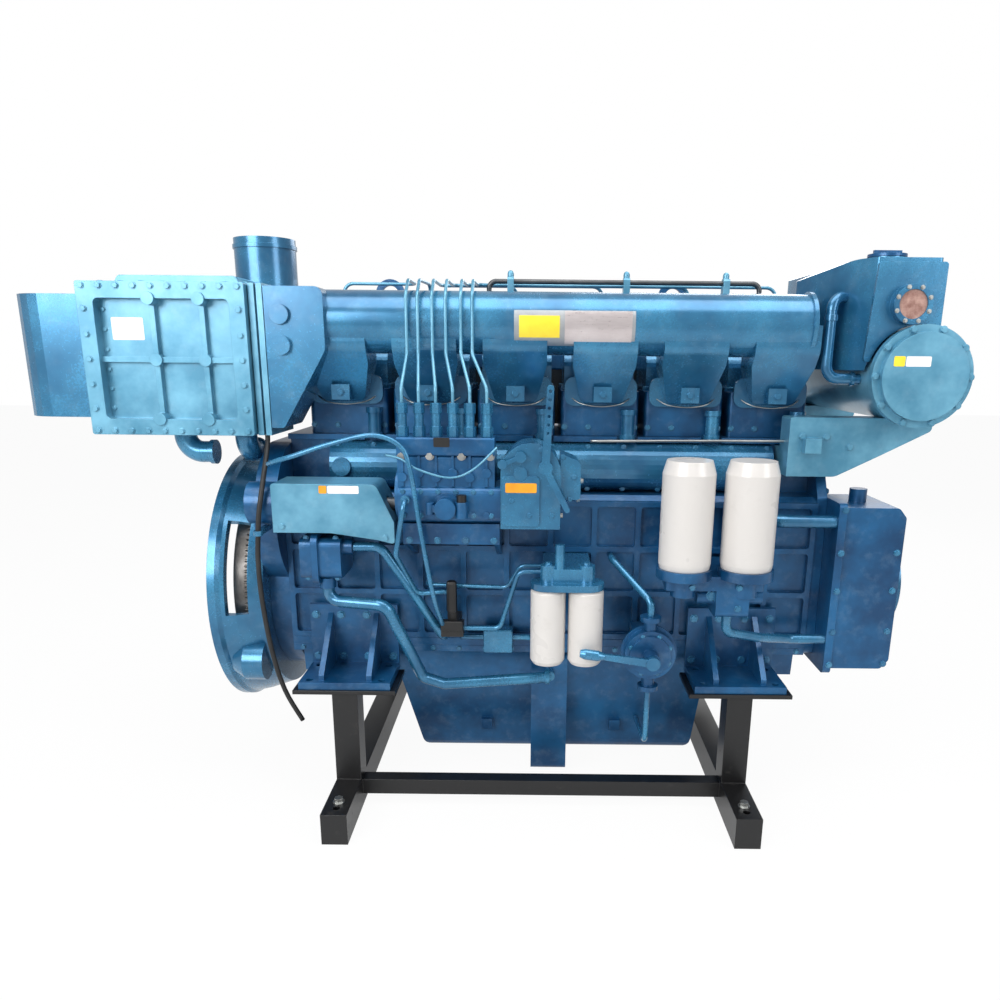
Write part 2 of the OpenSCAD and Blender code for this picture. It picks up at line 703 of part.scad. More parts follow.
module intercooler_cover() {
  y1 = cooler_y[0] - gap;
  y0 = y1 - cover_l;
  w = cover_x[1] - cover_x[0] - 2 * cover_rim;
  h = cooler_z[1] - cooler_z[0] - 2 * cover_rim;
  at = [cover_x[0] + cover_rim, cooler_z[0] + cover_rim];
  color(paint) {
    difference() {
      slab_y(y0, cover_l, rounded(rect([cover_x[0], cooler_z[0]],
        [cover_x[1] - cover_x[0], cooler_z[1] - cooler_z[0]]), 6));
      slab_y(y0 - over, cover_l - cover_floor_t + over, rounded(rect(at, [w, h]), cover_corner));
    }
    for (i = cover_shares)
      box([at.x + w * i - cover_rib / 2, y0 + cover_rib, at.y - over],
        [at.x + w * i + cover_rib / 2, y1 - over, at.y + h + over]);
    for (j = [1:cover_rows - 1])
      box([at.x - over, y0 + cover_rib, at.y + h * j / cover_rows - cover_rib / 2],
        [at.x + w + over, y1 - over, at.y + h * j / cover_rows + cover_rib / 2]);
    for (i = cover_shares) for (j = [0:cover_rows])
      bar_y([at.x + w * i, y0 - (j == 1 ? -cover_rib + cover_boss_h : cover_boss_h),
        at.y + h * j / cover_rows], cover_boss_r, cover_l - cover_rib + (j == 1 ? 0 : cover_rib));
  }
}

// Water elbows under the intercooler
elbow_x = [housing_l - 194, housing_l - 39];
elbow_y = -236;
elbow_r = 27;
elbow_drop = 68;
elbow_run = [[76, 0], [0, 78]];
elbow_bend = 42;
elbow_flange = [40, 12];

module intercooler_elbows() {
  z0 = cooler_z[0] + lid_rim - gap;
  color(paint) for (k = [0, 1]) {
    x = elbow_x[k];
    z1 = z0 - elbow_drop;
    end = [x + elbow_run[k].x, elbow_y + elbow_run[k].y, z1];
    pipe([[x, elbow_y, z0], [x, elbow_y, z1], end], elbow_r, elbow_bend);
    bar_z([x, elbow_y, z0 - elbow_flange.y], elbow_flange.x, elbow_flange.y);
    translate(end) rotate([0, k == 0 ? 90 : 0, 0]) rotate([k == 0 ? 0 : -90, 0, 0])
      translate([0, 0, -elbow_flange.y]) cylinder(h = elbow_flange.y, r = elbow_r + 4, $fn = fine);
  }
}

// Charge air duct from the compressor to the intercooler
duct_x0 = -448;
duct_z = [475, 766];
duct_y = [-292, -112];
duct_flange_t = 12;

module charge_air_duct() {
  x1 = cooler_x[0] - lid_rim - gap;
  color(paint) {
    slab_z(duct_z[0], duct_z[1] - duct_z[0], rounded([[x1, duct_y[0]], [duct_x0, duct_y[0]],
      [duct_x0, duct_y[1]], [x1, duct_y[1]]], [0, 84, 70, 0]));
    slab_x(x1 - duct_flange_t, duct_flange_t, rounded(rect([duct_y[0] - duct_flange_t,
      duct_z[0] - duct_flange_t], [duct_y[1] - duct_y[0] + duct_flange_t,
      duct_z[1] - duct_z[0] + 2 * duct_flange_t]), duct_flange_t));
  }
}

// Turbocharger: compressor housing, turbine housing and the rotor they share
turbo_y = 20;
turbo_z = 600;
compressor_x = [-330, -205];
compressor_r = 124;
inducer_r = 58;
wheel_r = 92;
wheel_x = [-296, -238];
rotor_gap = 1.2;
rotor_shaft_r = 11;
centre_r = 52;
turbine_x = [-95, 30];
turbine_r = 104;
blades_r = 74;
blades_x = [-52, -12];
turbine_out_r = 66;
port_box = [-86, 26, 100, 138, 500, 610];

module compressor_housing() {
  x0 = compressor_x[0];
  x1 = compressor_x[1];
  color("silver") difference() {
    union() {
      turned_x([0, turbo_y, turbo_z], [[0, x0], [inducer_r + 18, x0], [inducer_r + 18, x0 + 26],
        [wheel_r, x0 + 34], [compressor_r, x0 + 66], [compressor_r, x1 - 12], [wheel_r + 10, x1],
        [centre_r, x1], [centre_r, turbine_x[0] - gap], [0, turbine_x[0] - gap]]);
      slab_x(x0 + 66, x1 - x0 - 78, [[duct_y[1] + gap, turbo_z], [duct_y[1] + gap, turbo_z + compressor_r],
        [turbo_y, turbo_z + compressor_r], [turbo_y, turbo_z]]);
    }
    turned_x([0, turbo_y, turbo_z], [[0, x0 - over], [inducer_r, x0 - over],
      [inducer_r, wheel_x[0]], [wheel_r + rotor_gap, wheel_x[1] - 16],
      [wheel_r + rotor_gap, wheel_x[1] + rotor_gap], [rotor_shaft_r + run_gap, wheel_x[1] + rotor_gap],
      [rotor_shaft_r + run_gap, turbine_x[0]], [0, turbine_x[0]]]);
  }
}

module turbine_housing() {
  x0 = turbine_x[0];
  x1 = turbine_x[1];
  color("sienna") difference() {
    union() {
      turned_x([0, turbo_y, turbo_z], [[0, x0], [blades_r, x0], [turbine_r, x0 + 24],
        [turbine_r, x1 - 40], [turbine_out_r + 14, x1 - 14], [turbine_out_r + 14, x1], [0, x1]]);
      box([port_box[0], turbo_y, port_box[4]], [port_box[1] - 30, port_box[3], port_box[5]]);
    }
    turned_x([0, turbo_y, turbo_z], [[0, x0 - over], [rotor_shaft_r + run_gap, x0 - over],
      [rotor_shaft_r + run_gap, blades_x[0] - rotor_gap],
      [blades_r + rotor_gap, blades_x[0] - rotor_gap],
      [blades_r + rotor_gap, blades_x[0] + 10], [turbine_out_r, blades_x[1] + rotor_gap],
      [turbine_out_r, x1 + over], [0, x1 + over]]);
  }
}

// Turbo rotor: shaft, bladed compressor wheel and bladed turbine wheel
blade_count = 12;
blade_t = 3;
blade_sweep = 11;
hub_r = 20;

function blade_line(x0, x1, sweep) = concat(
  [for (q = [0:6]) [x0 + (x1 - x0) * q / 6, -blade_t / 2 + sweep * pow(q / 6, 2)]],
  [for (q = [6:-1:0]) [x0 + (x1 - x0) * q / 6, blade_t / 2 + sweep * pow(q / 6, 2)]]);

module turbo_rotor() {
  back = wheel_x[1] - 5;
  color("silver") translate([0, turbo_y, turbo_z]) {
    turned_x([0, 0, 0], [[0, wheel_x[0]], [hub_r * 0.7, wheel_x[0]], [hub_r, wheel_x[0] + 18],
      [hub_r * 2, wheel_x[1] - 14], [wheel_r - blade_t, back], [wheel_r - blade_t, wheel_x[1]],
      [0, wheel_x[1]]]);
    bar_x([wheel_x[1] - over, 0, 0], rotor_shaft_r, blades_x[0] - wheel_x[1] + through);
    bar_x([blades_x[0], 0, 0], hub_r, blades_x[1] - blades_x[0]);
    for (k = [0:blade_count - 1]) rotate([k * 360 / blade_count, 0, 0]) {
      intersection() {
        slab_z(hub_r / 2, wheel_r, blade_line(back + over, wheel_x[0] + over, -blade_sweep));
        turned_x([0, 0, 0], [[hub_r / 2, wheel_x[0]], [inducer_r - rotor_gap, wheel_x[0]],
          [wheel_r - 2 * blade_t, back - blade_t], [wheel_r - 2 * blade_t, wheel_x[1] - over],
          [hub_r / 2, wheel_x[1] - over]]);
      }
      intersection() {
        slab_z(hub_r / 2, blades_r,
          blade_line(blades_x[0] + blade_t, blades_x[1] - blade_t, blade_sweep));
        turned_x([0, 0, 0], [[hub_r / 2, blades_x[0]], [blades_r - blade_t, blades_x[0]],
          [turbine_out_r - 2 * blade_t, blades_x[1]], [hub_r / 2, blades_x[1]]]);
      }
    }
  }
}

// Exhaust manifold along the heads' far side
exhaust_y = 235;
exhaust_z = 555;
exhaust_pipe_r = 48;
exhaust_x1 = 1500;
exhaust_bend = 80;
exhaust_flange = [66, 14];
port_size = [84, 50];

module exhaust_manifold() {
  color("sienna") {
    pipe([[exhaust_x1, exhaust_y, exhaust_z], [(port_box[0] + port_box[1] - 30) / 2, exhaust_y, exhaust_z],
      [(port_box[0] + port_box[1] - 30) / 2, port_box[3] + gap, exhaust_z]],
      exhaust_pipe_r, exhaust_bend);
    bar_x([exhaust_x1, exhaust_y, exhaust_z], exhaust_flange.x - 10, exhaust_flange.y);
    for (k = cyls) {
      slab_y(head_half + gap, exhaust_y - head_half, rounded(rect(
        [cyl_x(k) - port_size.x / 2, head_top_z - port_size.y],
        [port_size.x, port_size.y]), 16));
      slab_y(head_half + gap, exhaust_flange.y, rounded(rect(
        [cyl_x(k) - port_size.x / 2 - 24, head_top_z - port_size.y - 8],
        [port_size.x + 48, port_size.y + 8]), 20));
    }
  }
}

// Exhaust outlet: an elbow that rises behind the intercooler
outlet_at = [118, -60];
outlet_top_z = 920;
outlet_z1 = 745;
outlet_bend = 92;
outlet_bead = [3, 10, 26];
outlet_wall = 5;
outlet_open_l = 120;

module exhaust_outlet() {
  at = [outlet_at.x, outlet_at.y];
  color(paint) difference() {
    union() {
      pipe([[turbine_x[1] + gap, turbo_y, turbo_z], [at.x + 6, turbo_y, turbo_z],
        [at.x + 6, at.y, outlet_z1], [at.x, at.y, outlet_top_z - outlet_bead.z]],
        exhaust_r - outlet_bead.x, outlet_bend);
      bar_z([at.x, at.y, outlet_top_z - outlet_open_l - 20], exhaust_r, outlet_open_l + 20 - gap);
      bar_z([at.x, at.y, outlet_top_z - outlet_bead.z], exhaust_r + outlet_bead.x, outlet_bead.y);
      bar_x([turbine_x[1] + gap, turbo_y, turbo_z], turbine_out_r + 14, exhaust_flange.y);
    }
    bar_z([at.x, at.y, outlet_top_z - outlet_open_l], exhaust_r - outlet_wall, outlet_open_l + over);
  }
}

// Heat exchanger: a barrel across the engine with a bolted end cover
exchanger_at = [1736, 595];
exchanger_y = [-384, 312];
exchanger_ring = [10, 22];
exchanger_cap = [7, 16];

module heat_exchanger() {
  at = [exchanger_at.x, 0, exchanger_at.y];
  color(paint) {
    bar_y([at.x, exchanger_y[0], at.z], exchanger_r, exchanger_y[1] - exchanger_y[0]);
    for (y = [exchanger_y[0], exchanger_y[1] - exchanger_ring.y])
      bar_y([at.x, y, at.z], exchanger_r + exchanger_ring.x, exchanger_ring.y);
    bar_y([at.x, exchanger_y[0] - exchanger_cap.y, at.z],
      exchanger_r - exchanger_cap.x, exchanger_cap.y + over);
    bar_y([at.x, exchanger_y[1] - over, at.z], exchanger_r - exchanger_cap.x, exchanger_cap.y + over);
  }
}

// Expansion tank saddled on the heat exchanger
tank_plan = [[1622, -338], [1772, -338], [1806, -150], [1806, 170], [1560, 170], [1560, -112], [1496, -112]];
tank_round = [8, 8, 30, 30, 30, 10, 10];
tank_side = [[1480, 607], [1806, 607], [1806, 862], [1590, 862], [1480, 815]];
front_lip = [8, 10];
sight_at = [1700, 757];
sight_boss = [12, 24];
sight_l = 12;
filler_at = [1690, -215];
filler_r = 44;
filler_h = 12;

module expansion_tank() {
  port_y = tank_plan[0].y - front_lip.y - sight_boss.y;
  color(paint) difference() {
    union() {
      intersection() {
        slab_z(tank_side[0].y, tank_side[2].y - tank_side[0].y, rounded(tank_plan, tank_round));
        slab_y(tank_plan[0].y - over, tank_plan[3].y - tank_plan[0].y + through,
          rounded(tank_side, [0, 0, 20, 60, 30]));
      }
      slab_y(tank_plan[0].y - front_lip.y, front_lip.y + over, rounded([
        [tank_plan[0].x - 14, tank_side[0].y + 20], [tank_plan[1].x + front_lip.x, tank_side[0].y + 20],
        [tank_plan[1].x + front_lip.x, tank_side[2].y - 10], [tank_plan[0].x, tank_side[2].y - 10]], 8));
      bar_y([sight_at.x, port_y, sight_at.y], sight_r + sight_boss.x, sight_boss.y + front_lip.y);
      bar_z([filler_at.x, filler_at.y, tank_side[2].y - over], filler_r, filler_h + over);
    }
    bar_y([exchanger_at.x, tank_plan[0].y - 40, exchanger_at.y],
      exchanger_r + exchanger_ring.x + gap, 2 * tank_plan[3].y + 500);
    bar_y([sight_at.x, port_y - over, sight_at.y], sight_r, sight_l + over);
    bar_z([filler_at.x, filler_at.y, tank_side[2].y - filler_h], filler_r - 14, 3 * filler_h);
  }
}

// Sight glass in its port
module sight_glass() {
  port_y = tank_plan[0].y - front_lip.y - sight_boss.y;
  color([0.5, 0.42, 0.36, 0.6])
    bar_y([sight_at.x, port_y + sight_l / 3, sight_at.y], sight_r - gap, sight_l * 2 / 3 - gap);
}

// Filler cap that turns a quarter on its neck
cap_top = 7;
cap_wing = [9, 34, 10];

module filler_cap() {
  z0 = tank_side[2].y + filler_h;
  color(paint) {
    bar_z([filler_at.x, filler_at.y, z0 + gap], filler_r + 2, cap_top);
    bar_z([filler_at.x, filler_at.y, z0 - filler_h], filler_r - 14 - gap, filler_h + cap_top);
    box([filler_at.x - cap_wing.y, filler_at.y - cap_wing.x / 2, z0 + cap_top - over],
      [filler_at.x + cap_wing.y, filler_at.y + cap_wing.x / 2, z0 + cap_top + cap_wing.z]);
  }
}

// Level pipe from the tank's slanted side down to the exchanger's inlet
level_r = 13;
level_z = [778, 586];
level_bend = 32;
level_y = -262;
level_out = 40;

module level_pipe() {
  back = tank_plan[6];
  edge = tank_plan[0] - back;
  out = unit([edge.y, -edge.x]);
  foot = back + edge * (level_y - back.y) / edge.y;
  a = foot + out * gap;
  b = foot + out * level_out;
  end_x = exchanger_at.x - exchanger_r - gap;
  color(paint) {
    pipe([[a.x, a.y, level_z[0]], [b.x, b.y, level_z[0]], [b.x, b.y, level_z[1]],
      [end_x, b.y, level_z[1]]], level_r, level_bend);
    bar_x([end_x - 22, b.y, level_z[1]], level_r + 4, 8);
    bar_z([b.x, b.y, (level_z[0] + level_z[1]) / 2 + 40], level_r + 3, 14);
  }
}

// Thermostat housing: the bracket that carries the exchanger, one on each side
bracket_pts = [[1467, 345], [1467, 492], [1820, 492], [1820, 462], [1700, 400], [1590, 345]];
bracket_y = [-290, -216];
bracket_in_z = 412;
sensor_at = [1520, 424];
sensor_size = [40, 30, 36];

module thermostat_half() {
  difference() {
    union() {
      slab_y(bracket_y[0], bracket_y[1] - bracket_y[0], rounded(bracket_pts, [0, 6, 14, 14, 60, 40]));
      box([bracket_pts[0].x, bracket_y[1] - over, bracket_pts[0].y],
        [block_x1, -jacket_y - gap, bracket_in_z]);
    }
    bar_y([exchanger_at.x, bracket_y[0] - over, exchanger_at.y], exchanger_r + gap,
      bracket_y[1] - bracket_y[0] + through);
    box([block_x1 - over, -case_half - over, bracket_pts[0].y - over],
      [front_x1 + 2 * gap, -jacket_y + over, deck_z + gap]);
  }
}

module thermostat_housing() {
  color(paint) {
    thermostat_half();
    mirror([0, 1, 0]) thermostat_half();
    box([sensor_at.x - sensor_size.x / 2, bracket_y[0] - sensor_size.y, sensor_at.y - sensor_size.z / 2],
      [sensor_at.x + sensor_size.x / 2, bracket_y[0] + over, sensor_at.y + sensor_size.z / 2]);
  }
}

// Oil cooler on the front cover
plate_z = [-154, 274];
plate_y = [-335, -126];
oil_flange = [24, 12, 20];
oil_top_port = [22, 34];

module oil_cooler() {
  x0 = front_x1 + 2 * gap;
  color(paint) {
    slab_x(x0, oil_flange.z, rounded([[plate_y[0] - oil_flange.y, plate_z[0] - oil_flange.y],
      [plate_y[1], plate_z[0] - oil_flange.y], [plate_y[1], plate_z[1] + oil_flange.y],
      [plate_y[0] - oil_flange.y, plate_z[1] + oil_flange.y]], [14, 0, 0, 14]));
    slab_y(plate_y[0], plate_y[1] - plate_y[0], rounded([
      [x0, plate_z[0]], [x0 + cooler_w - 20, plate_z[0]], [x0 + cooler_w, plate_z[0] + 24],
      [x0 + cooler_w, plate_z[1] - 24], [x0 + cooler_w - 20, plate_z[1]], [x0, plate_z[1]]],
      [0, 12, 12, 12, 12, 0]));
    bar_z([x0 + cooler_w / 2, (plate_y[0] + plate_y[1]) / 2, plate_z[1] - over],
      oil_top_port.x, oil_top_port.y);
    bar_z([x0 + cooler_w / 2, (plate_y[0] + plate_y[1]) / 2, plate_z[0] - oil_top_port.y / 2],
      oil_top_port.x, oil_top_port.y / 2 + over);
  }
}

// Raw water pump on the front cover's far side
water_at = [168, 60];
water_r = 74;
water_l = 96;
water_port_r = 30;
water_port_wall = 7;
water_port_l = 62;
water_bore_l = 40;

module raw_water_pump() {
  x0 = front_x1 + 2 * gap;
  xp = x0 + water_l * 0.6;
  color("darkgoldenrod") difference() {
    union() {
      bar_x([x0, water_at.x, water_at.y], water_r + 10, 14);
      bar_x([x0, water_at.x, water_at.y], water_r, water_l);
      bar_x([x0 + water_l - over, water_at.x, water_at.y], water_r - 16, 10);
      for (s = [-1, 1]) translate([xp, water_at.x, water_at.y]) rotate([s < 0 ? 180 : 0, 0, 0])
        bar_z([0, 0, water_r / 2], water_port_r + water_port_wall, water_r / 2 + water_port_l);
    }
    for (s = [-1, 1]) translate([xp, water_at.x, water_at.y]) rotate([s < 0 ? 180 : 0, 0, 0])
      bar_z([0, 0, water_r + water_port_l - water_bore_l], water_port_r, water_bore_l + over);
  }
}

// Starter motor behind the bell housing's far side
starter_at = [case_half + 71, 62];
starter_r = 54;
starter_l = 250;
solenoid = [26, 150, 78];
starter_nose = [34, 30];

module starter_motor() {
  x0 = housing_l;
  color("dimgray") {
    bar_x([x0, starter_at.x, starter_at.y], starter_r, starter_l);
    bar_x([x0 + starter_l - over, starter_at.x, starter_at.y], starter_r - 12, 12);
    bar_x([x0 + starter_nose.x, starter_at.x + solenoid.z / 3, starter_at.y + solenoid.z],
      solenoid.x, solenoid.y);
    box([x0 + starter_nose.x, starter_at.x, starter_at.y], [x0 + starter_nose.x * 2,
      starter_at.x + solenoid.z / 3, starter_at.y + solenoid.z]);
  }
}

// Injection pump on its bracket, with its six delivery valves
pump_x = [507, 752];
pump_z = [241, 330, 404, 446];
pump_y = [-case_half - 170, -case_half - 30];
pump_mid_y = [-case_half - 157, -case_half - 45];
pump_rail_y = [-case_half - 165, -case_half - 95];
pump_x_first = 519;
valve_y = -case_half - 138;
tappet_r = 11;
tappet_out = 8;
tappet_z = 352;
cover_t = 9;
pump_flange_r = 62;

function outlet_x(k) = pump_x_first + k * outlet_pitch;

module injection_pump() {
  w = pump_x[1] - pump_x[0];
  color(paint) difference() {
    union() {
      slab_x(pump_x[0], w, rounded(rect([pump_y[0], pump_z[0]],
        [pump_y[1] - pump_y[0], pump_z[1] - pump_z[0]]), 20));
      slab_x(pump_x[0], w - 14, rounded(rect([pump_mid_y[0], pump_z[1] - 30],
        [pump_mid_y[1] - pump_mid_y[0], pump_z[2] - pump_z[1] + 30]), 8));
      slab_x(pump_x[0], w - 14, rounded(rect([pump_rail_y[0], pump_z[2] - over],
        [pump_rail_y[1] - pump_rail_y[0], pump_z[3] - pump_z[2] + over]), 5));
      for (k = cyls) {
        bar_y([outlet_x(k), pump_mid_y[0] - tappet_out, tappet_z + (k % 2) * tappet_r],
          tappet_r, tappet_out * 2);
        if (abs(outlet_x(k) - feed_at.x) > 2 * feed_r)
          bar_y([outlet_x(k), pump_y[0] - tappet_out / 2, pump_z[0] + tappet_r * 2],
            tappet_r - 2, tappet_out);
        box([outlet_x(k) - 3, pump_mid_y[0] - tappet_out / 2, pump_z[1]],
          [outlet_x(k) + 3, pump_mid_y[0] + over, pump_z[2] + over]);
      }
      bar_x([pump_x[0] - cover_t, drive_y, drive_z + 26], pump_flange_r, cover_t + over);
    }
    bar_x([pump_x[0] - cover_t - over, drive_y, drive_z], drive_shaft_r + run_gap, 60);
  }
}

valve_parts = [[15, 24], [11, 30], [14, 24]];

module delivery_valves() {
  z0 = pump_z[3] + gap;
  color(paint) for (k = cyls) {
    translate([outlet_x(k), valve_y, z0]) cylinder(h = valve_parts[0].y, r = valve_parts[0].x, $fn = 6);
    bar_z([outlet_x(k), valve_y, z0], valve_parts[1].x, valve_parts[0].y + valve_parts[1].y);
    translate([outlet_x(k), valve_y, z0 + valve_parts[0].y + valve_parts[1].y])
      cylinder(h = valve_parts[2].y, r = valve_parts[2].x, $fn = 6);
  }
}

// Injection pipes: over the manifold, then down to each head
pipe_front_x = [525, 552, 586, 618, 654, 681];
pipe_back_y = [-152, -152, -116, -128, -140, -152];
pipe_front_y = -324;
pipe_over_z = 806;
pipe_bend = 24;
pipe_union = [9, 26];
valve_top_z = pump_z[3] + gap + valve_parts[0].y + valve_parts[1].y + valve_parts[2].y;

module injection_pipes() {
  z1 = head_top_z + gap;
  color("silver") for (k = cyls) {
    xt = pipe_front_x[k];
    xe = cyl_x(k);
    yb = pipe_back_y[k];
    near = abs(xe - xt) < cyl_pitch / 4;
    pipe(concat([[outlet_x(k), valve_y, valve_top_z + gap],
      [outlet_x(k), valve_y, valve_top_z + pipe_bend * 1.4],
      [xt, pipe_front_y - 6, manifold_z - manifold_r], [xt, pipe_front_y, manifold_z + manifold_r * 0.8],
      [xt, manifold_y - manifold_r / 2, pipe_over_z]],
      near ? [[xe, yb, pipe_over_z]] : [[xt, yb, pipe_over_z], [xe, yb, pipe_over_z]],
      [[xe, yb, z1 + pipe_union.y / 2]]), injection_pipe_r, pipe_bend);
    bar_z([xe, yb, z1], pipe_union.x, pipe_union.y);
  }
}

// Pump bracket: a shelf with gussets on the crankcase
shelf_x = [517, 750];
shelf_z = [190, 241];
shelf_t = 14;
shelf_y = -420;

module pump_bracket() {
  color(paint) {
    box([shelf_x[0], shelf_y, shelf_z[1] - gap - shelf_t], [shelf_x[1], -foot_in, shelf_z[1] - gap]);
    box([shelf_x[0], shelf_y, shelf_z[0]], [shelf_x[1], shelf_y + shelf_t, shelf_z[1] - shelf_t]);
    for (x = [shelf_x[0], shelf_x[1] - shelf_t])
      slab_x(x, shelf_t, [[shelf_y + shelf_t / 2, shelf_z[0]], [-foot_in, shelf_z[0] - shelf_z[1] / 4],
        [-foot_in, shelf_z[1] - shelf_t], [shelf_y + shelf_t / 2, shelf_z[1] - shelf_t]]);
  }
}

// Drive coupling between the gear case and the injection pump
coupling_x = [300, 336, 372];
disc_at = [46, 22];
drive_x1 = pump_x[0] + 40;

module drive_coupling() {
  color("slategray") {
    bar_x([housing_l + wall_l + 2, drive_y, drive_z], drive_shaft_r, drive_x1 - housing_l - wall_l - 2);
    for (x = coupling_x) bar_x([x, drive_y, drive_z], disc_at.x, disc_at.y);
    for (turn = [0, 90]) translate([0, drive_y, drive_z]) rotate([turn, 0, 0])
      box([coupling_x[turn / 90], -disc_at.x * 0.8, -disc_at.y / 2],
        [coupling_x[1 + turn / 90] + disc_at.y, disc_at.x * 0.8, disc_at.y / 2]);
  }
}

// Guard over the drive coupling
guard_wall = 4;
guard_y = [-408, -292];
guard_x0 = block_x0 + drive_boss_l + gap;
guard_out = [[guard_x0, 212], [guard_x0, 332], [452, 332], [494, 240], [494, 186], [452, 196], [340, 212]];

module coupling_guard() {
  x0 = guard_out[0].x;
  color(paint) difference() {
    slab_y(guard_y[0], guard_y[1] - guard_y[0], rounded(guard_out, [0, 8, 20, 12, 6, 6, 0]));
    slab_y(guard_y[0] + guard_wall, guard_y[1] - guard_y[0] - 2 * guard_wall, [
      [x0 + guard_wall, guard_out[5].y - 30], [x0 + guard_wall, guard_out[1].y - guard_wall],
      [guard_out[2].x - guard_wall, guard_out[1].y - guard_wall], [guard_out[3].x - guard_wall, guard_out[3].y],
      [guard_out[3].x - guard_wall, guard_out[5].y - 30]]);
    bar_x([x0 - over, drive_y, drive_z], drive_shaft_r + 4, guard_out[3].x - x0 + through);
  }
}

// Governor at the pump's far end
governor_x = [752, 895];
governor_z = [231, 436];
governor_y = [-428, -300];
governor_cover = [48, 300, 410];
lever_at = [858, 380];
lever_pin_r = 8;
stop_at = [800, 405];

module governor() {
  x0 = governor_x[0] + gap;
  w = governor_x[1] - x0;
  color(paint) difference() {
    union() {
      slab_y(governor_y[0], governor_y[1] - governor_y[0], concat(
        [[x0, governor_z[0]], [x0 + w, governor_z[0]]],
        arc([x0 + w / 2, governor_z[1] - w / 2], w / 2, 0, 180, 12)));
      slab_y(governor_y[0] + 20, governor_y[1] - governor_y[0] - 30, rounded([
        [x0 + w - over, governor_cover.y], [x0 + w + governor_cover.x, governor_cover.y],
        [x0 + w + governor_cover.x, governor_cover.z - 20], [x0 + w - over, governor_cover.z]], [0, 8, 20, 0]));
      slab_y(governor_y[0] - 6, 6 + over, rounded(rect([x0 + 4, governor_z[0] + 8], [w * 0.62, 120]), 10));
      bar_y([stop_at.x, governor_y[0] - 8, stop_at.y - 40], 16, 12);
    }
    for (at = [lever_at, stop_at])
      bar_y([at.x, governor_y[0] - 10, at.y], lever_pin_r + run_gap, 40);
  }
}

// Speed lever: a drilled arm and a tail on one pin
lever_y = [-446, -436];
lever_len = 190;
lever_tail = 118;
lever_hub_r = 17;
lever_hole_r = 4;
lever_hole_count = 6;
lever_lean = 3;
tail_lean = 152;

lever_w = 10;

function arm(w, l) = rounded([[-w, 0], [w, 0], [w * 0.8, l], [-w * 0.8, l]], [0, 0, w * 0.7, w * 0.7]);

module speed_lever() {
  h = lever_y[1] - lever_y[0];
  color(paint) difference() {
    translate([lever_at.x, 0, lever_at.y]) union() {
      bar_y([0, lever_y[0], 0], lever_hub_r, h);
      bar_y([0, lever_y[1] - over, 0], lever_pin_r, 34);
      rotate([0, lever_lean, 0]) slab_y(lever_y[0], h, arm(lever_w, lever_len));
      rotate([0, tail_lean, 0]) slab_y(lever_y[0], h, arm(lever_w * 0.8, lever_tail));
    }
    translate([lever_at.x, 0, lever_at.y]) rotate([0, lever_lean, 0]) for (k = [0:lever_hole_count - 1])
      bar_y([0, lever_y[0] - over, lever_len - 14 - k * 19], lever_hole_r, h + through);
  }
}

// Stop lever: a short handle with a round end
stop_len = 46;

module stop_lever() {
  h = lever_y[1] - lever_y[0];
  color(paint) translate([stop_at.x, 0, stop_at.y]) {
    bar_y([0, lever_y[0], 0], lever_hub_r - 4, h);
    bar_y([0, lever_y[1] - over, 0], lever_pin_r, 30);
    rotate([0, 68, 0]) slab_y(lever_y[0], h, [[-5, -stop_len], [5, -stop_len], [5, 0], [-5, 0]]);
    rotate([0, 68, 0]) bar_y([0, lever_y[0] - 2, -stop_len], 11, h + 4);
  }
}

// Feed pump on the injection pump's side, with its hand primer
feed_at = [624, 284];
feed_r = 25;
feed_l = 42;
primer_r = 9;
primer_x = 662;
primer_z = [262, 300];
primer_y = -452;

module feed_pump() {
  y1 = pump_y[0] - gap;
  color(paint) difference() {
    union() {
      bar_y([feed_at.x, y1 - feed_l, feed_at.y], feed_r, feed_l);
      bar_y([feed_at.x, y1 - 8, feed_at.y], feed_r + 8, 8);
      bar_z([feed_at.x - 36, primer_y, feed_at.y - 14], 10, 28);
      box([feed_at.x - 36, primer_y - 8, feed_at.y - 8], [primer_x, primer_y + 8, feed_at.y + 8]);
      bar_z([primer_x, primer_y, primer_z[0]], primer_r + 6, primer_z[1] - primer_z[0]);
    }
    bar_z([primer_x, primer_y, primer_z[0] + 6], primer_r - 3 + run_gap, primer_z[1] - primer_z[0]);
  }
}

module primer_plunger() {
  color("dimgray") {
    bar_z([primer_x, primer_y, primer_z[0] + 7], primer_r - 3, primer_z[1] - primer_z[0] + 10);
    bar_z([primer_x, primer_y, primer_z[1] + gap], primer_r + 3, 16);
  }
}

// Lube oil pump low on the crankcase and its two pipes
lube_x = [257, 358];
lube_z = [79, 207];
lube_y = -400;
lube_port = [20, 26];

module lube_oil_pump() {
  color(paint) {
    slab_x(lube_x[0], lube_x[1] - lube_x[0], rounded(rect([lube_y, lube_z[0] + 14],
      [-foot_in - lube_y, lube_z[1] - lube_z[0] - 28]), 18));
    slab_x(lube_x[0] + 30, 16, rounded(rect([lube_y - 8, lube_z[0]],
      [-foot_in - lube_y + 8, lube_z[1] - lube_z[0]]), 24));
    bar_x([lube_x[1] - over, lube_y + 34, lube_z[1] - 38], lube_port.x, lube_port.y);
    bar_z([lube_x[0] + 60, lube_y + 28, lube_z[0] - lube_port.y / 2], lube_port.x, lube_port.y);
  }
}

suction_r = 15;
delivery_r = 12;
suction_bend = 30;
delivery_bend = 34;
suction_x0 = 317;

suction_via = [[545, -346, -186], [600, -334, -210], [848, -310, -200]];
suction_end = [878, -300, -200];
suction_out = [28, 150, -8];
suction_drop = 36;
delivery_out = [34, -38];
delivery_via = [[452, -366, 169], [548, -350, 12], [600, -322, -86]];
union_l = 12;

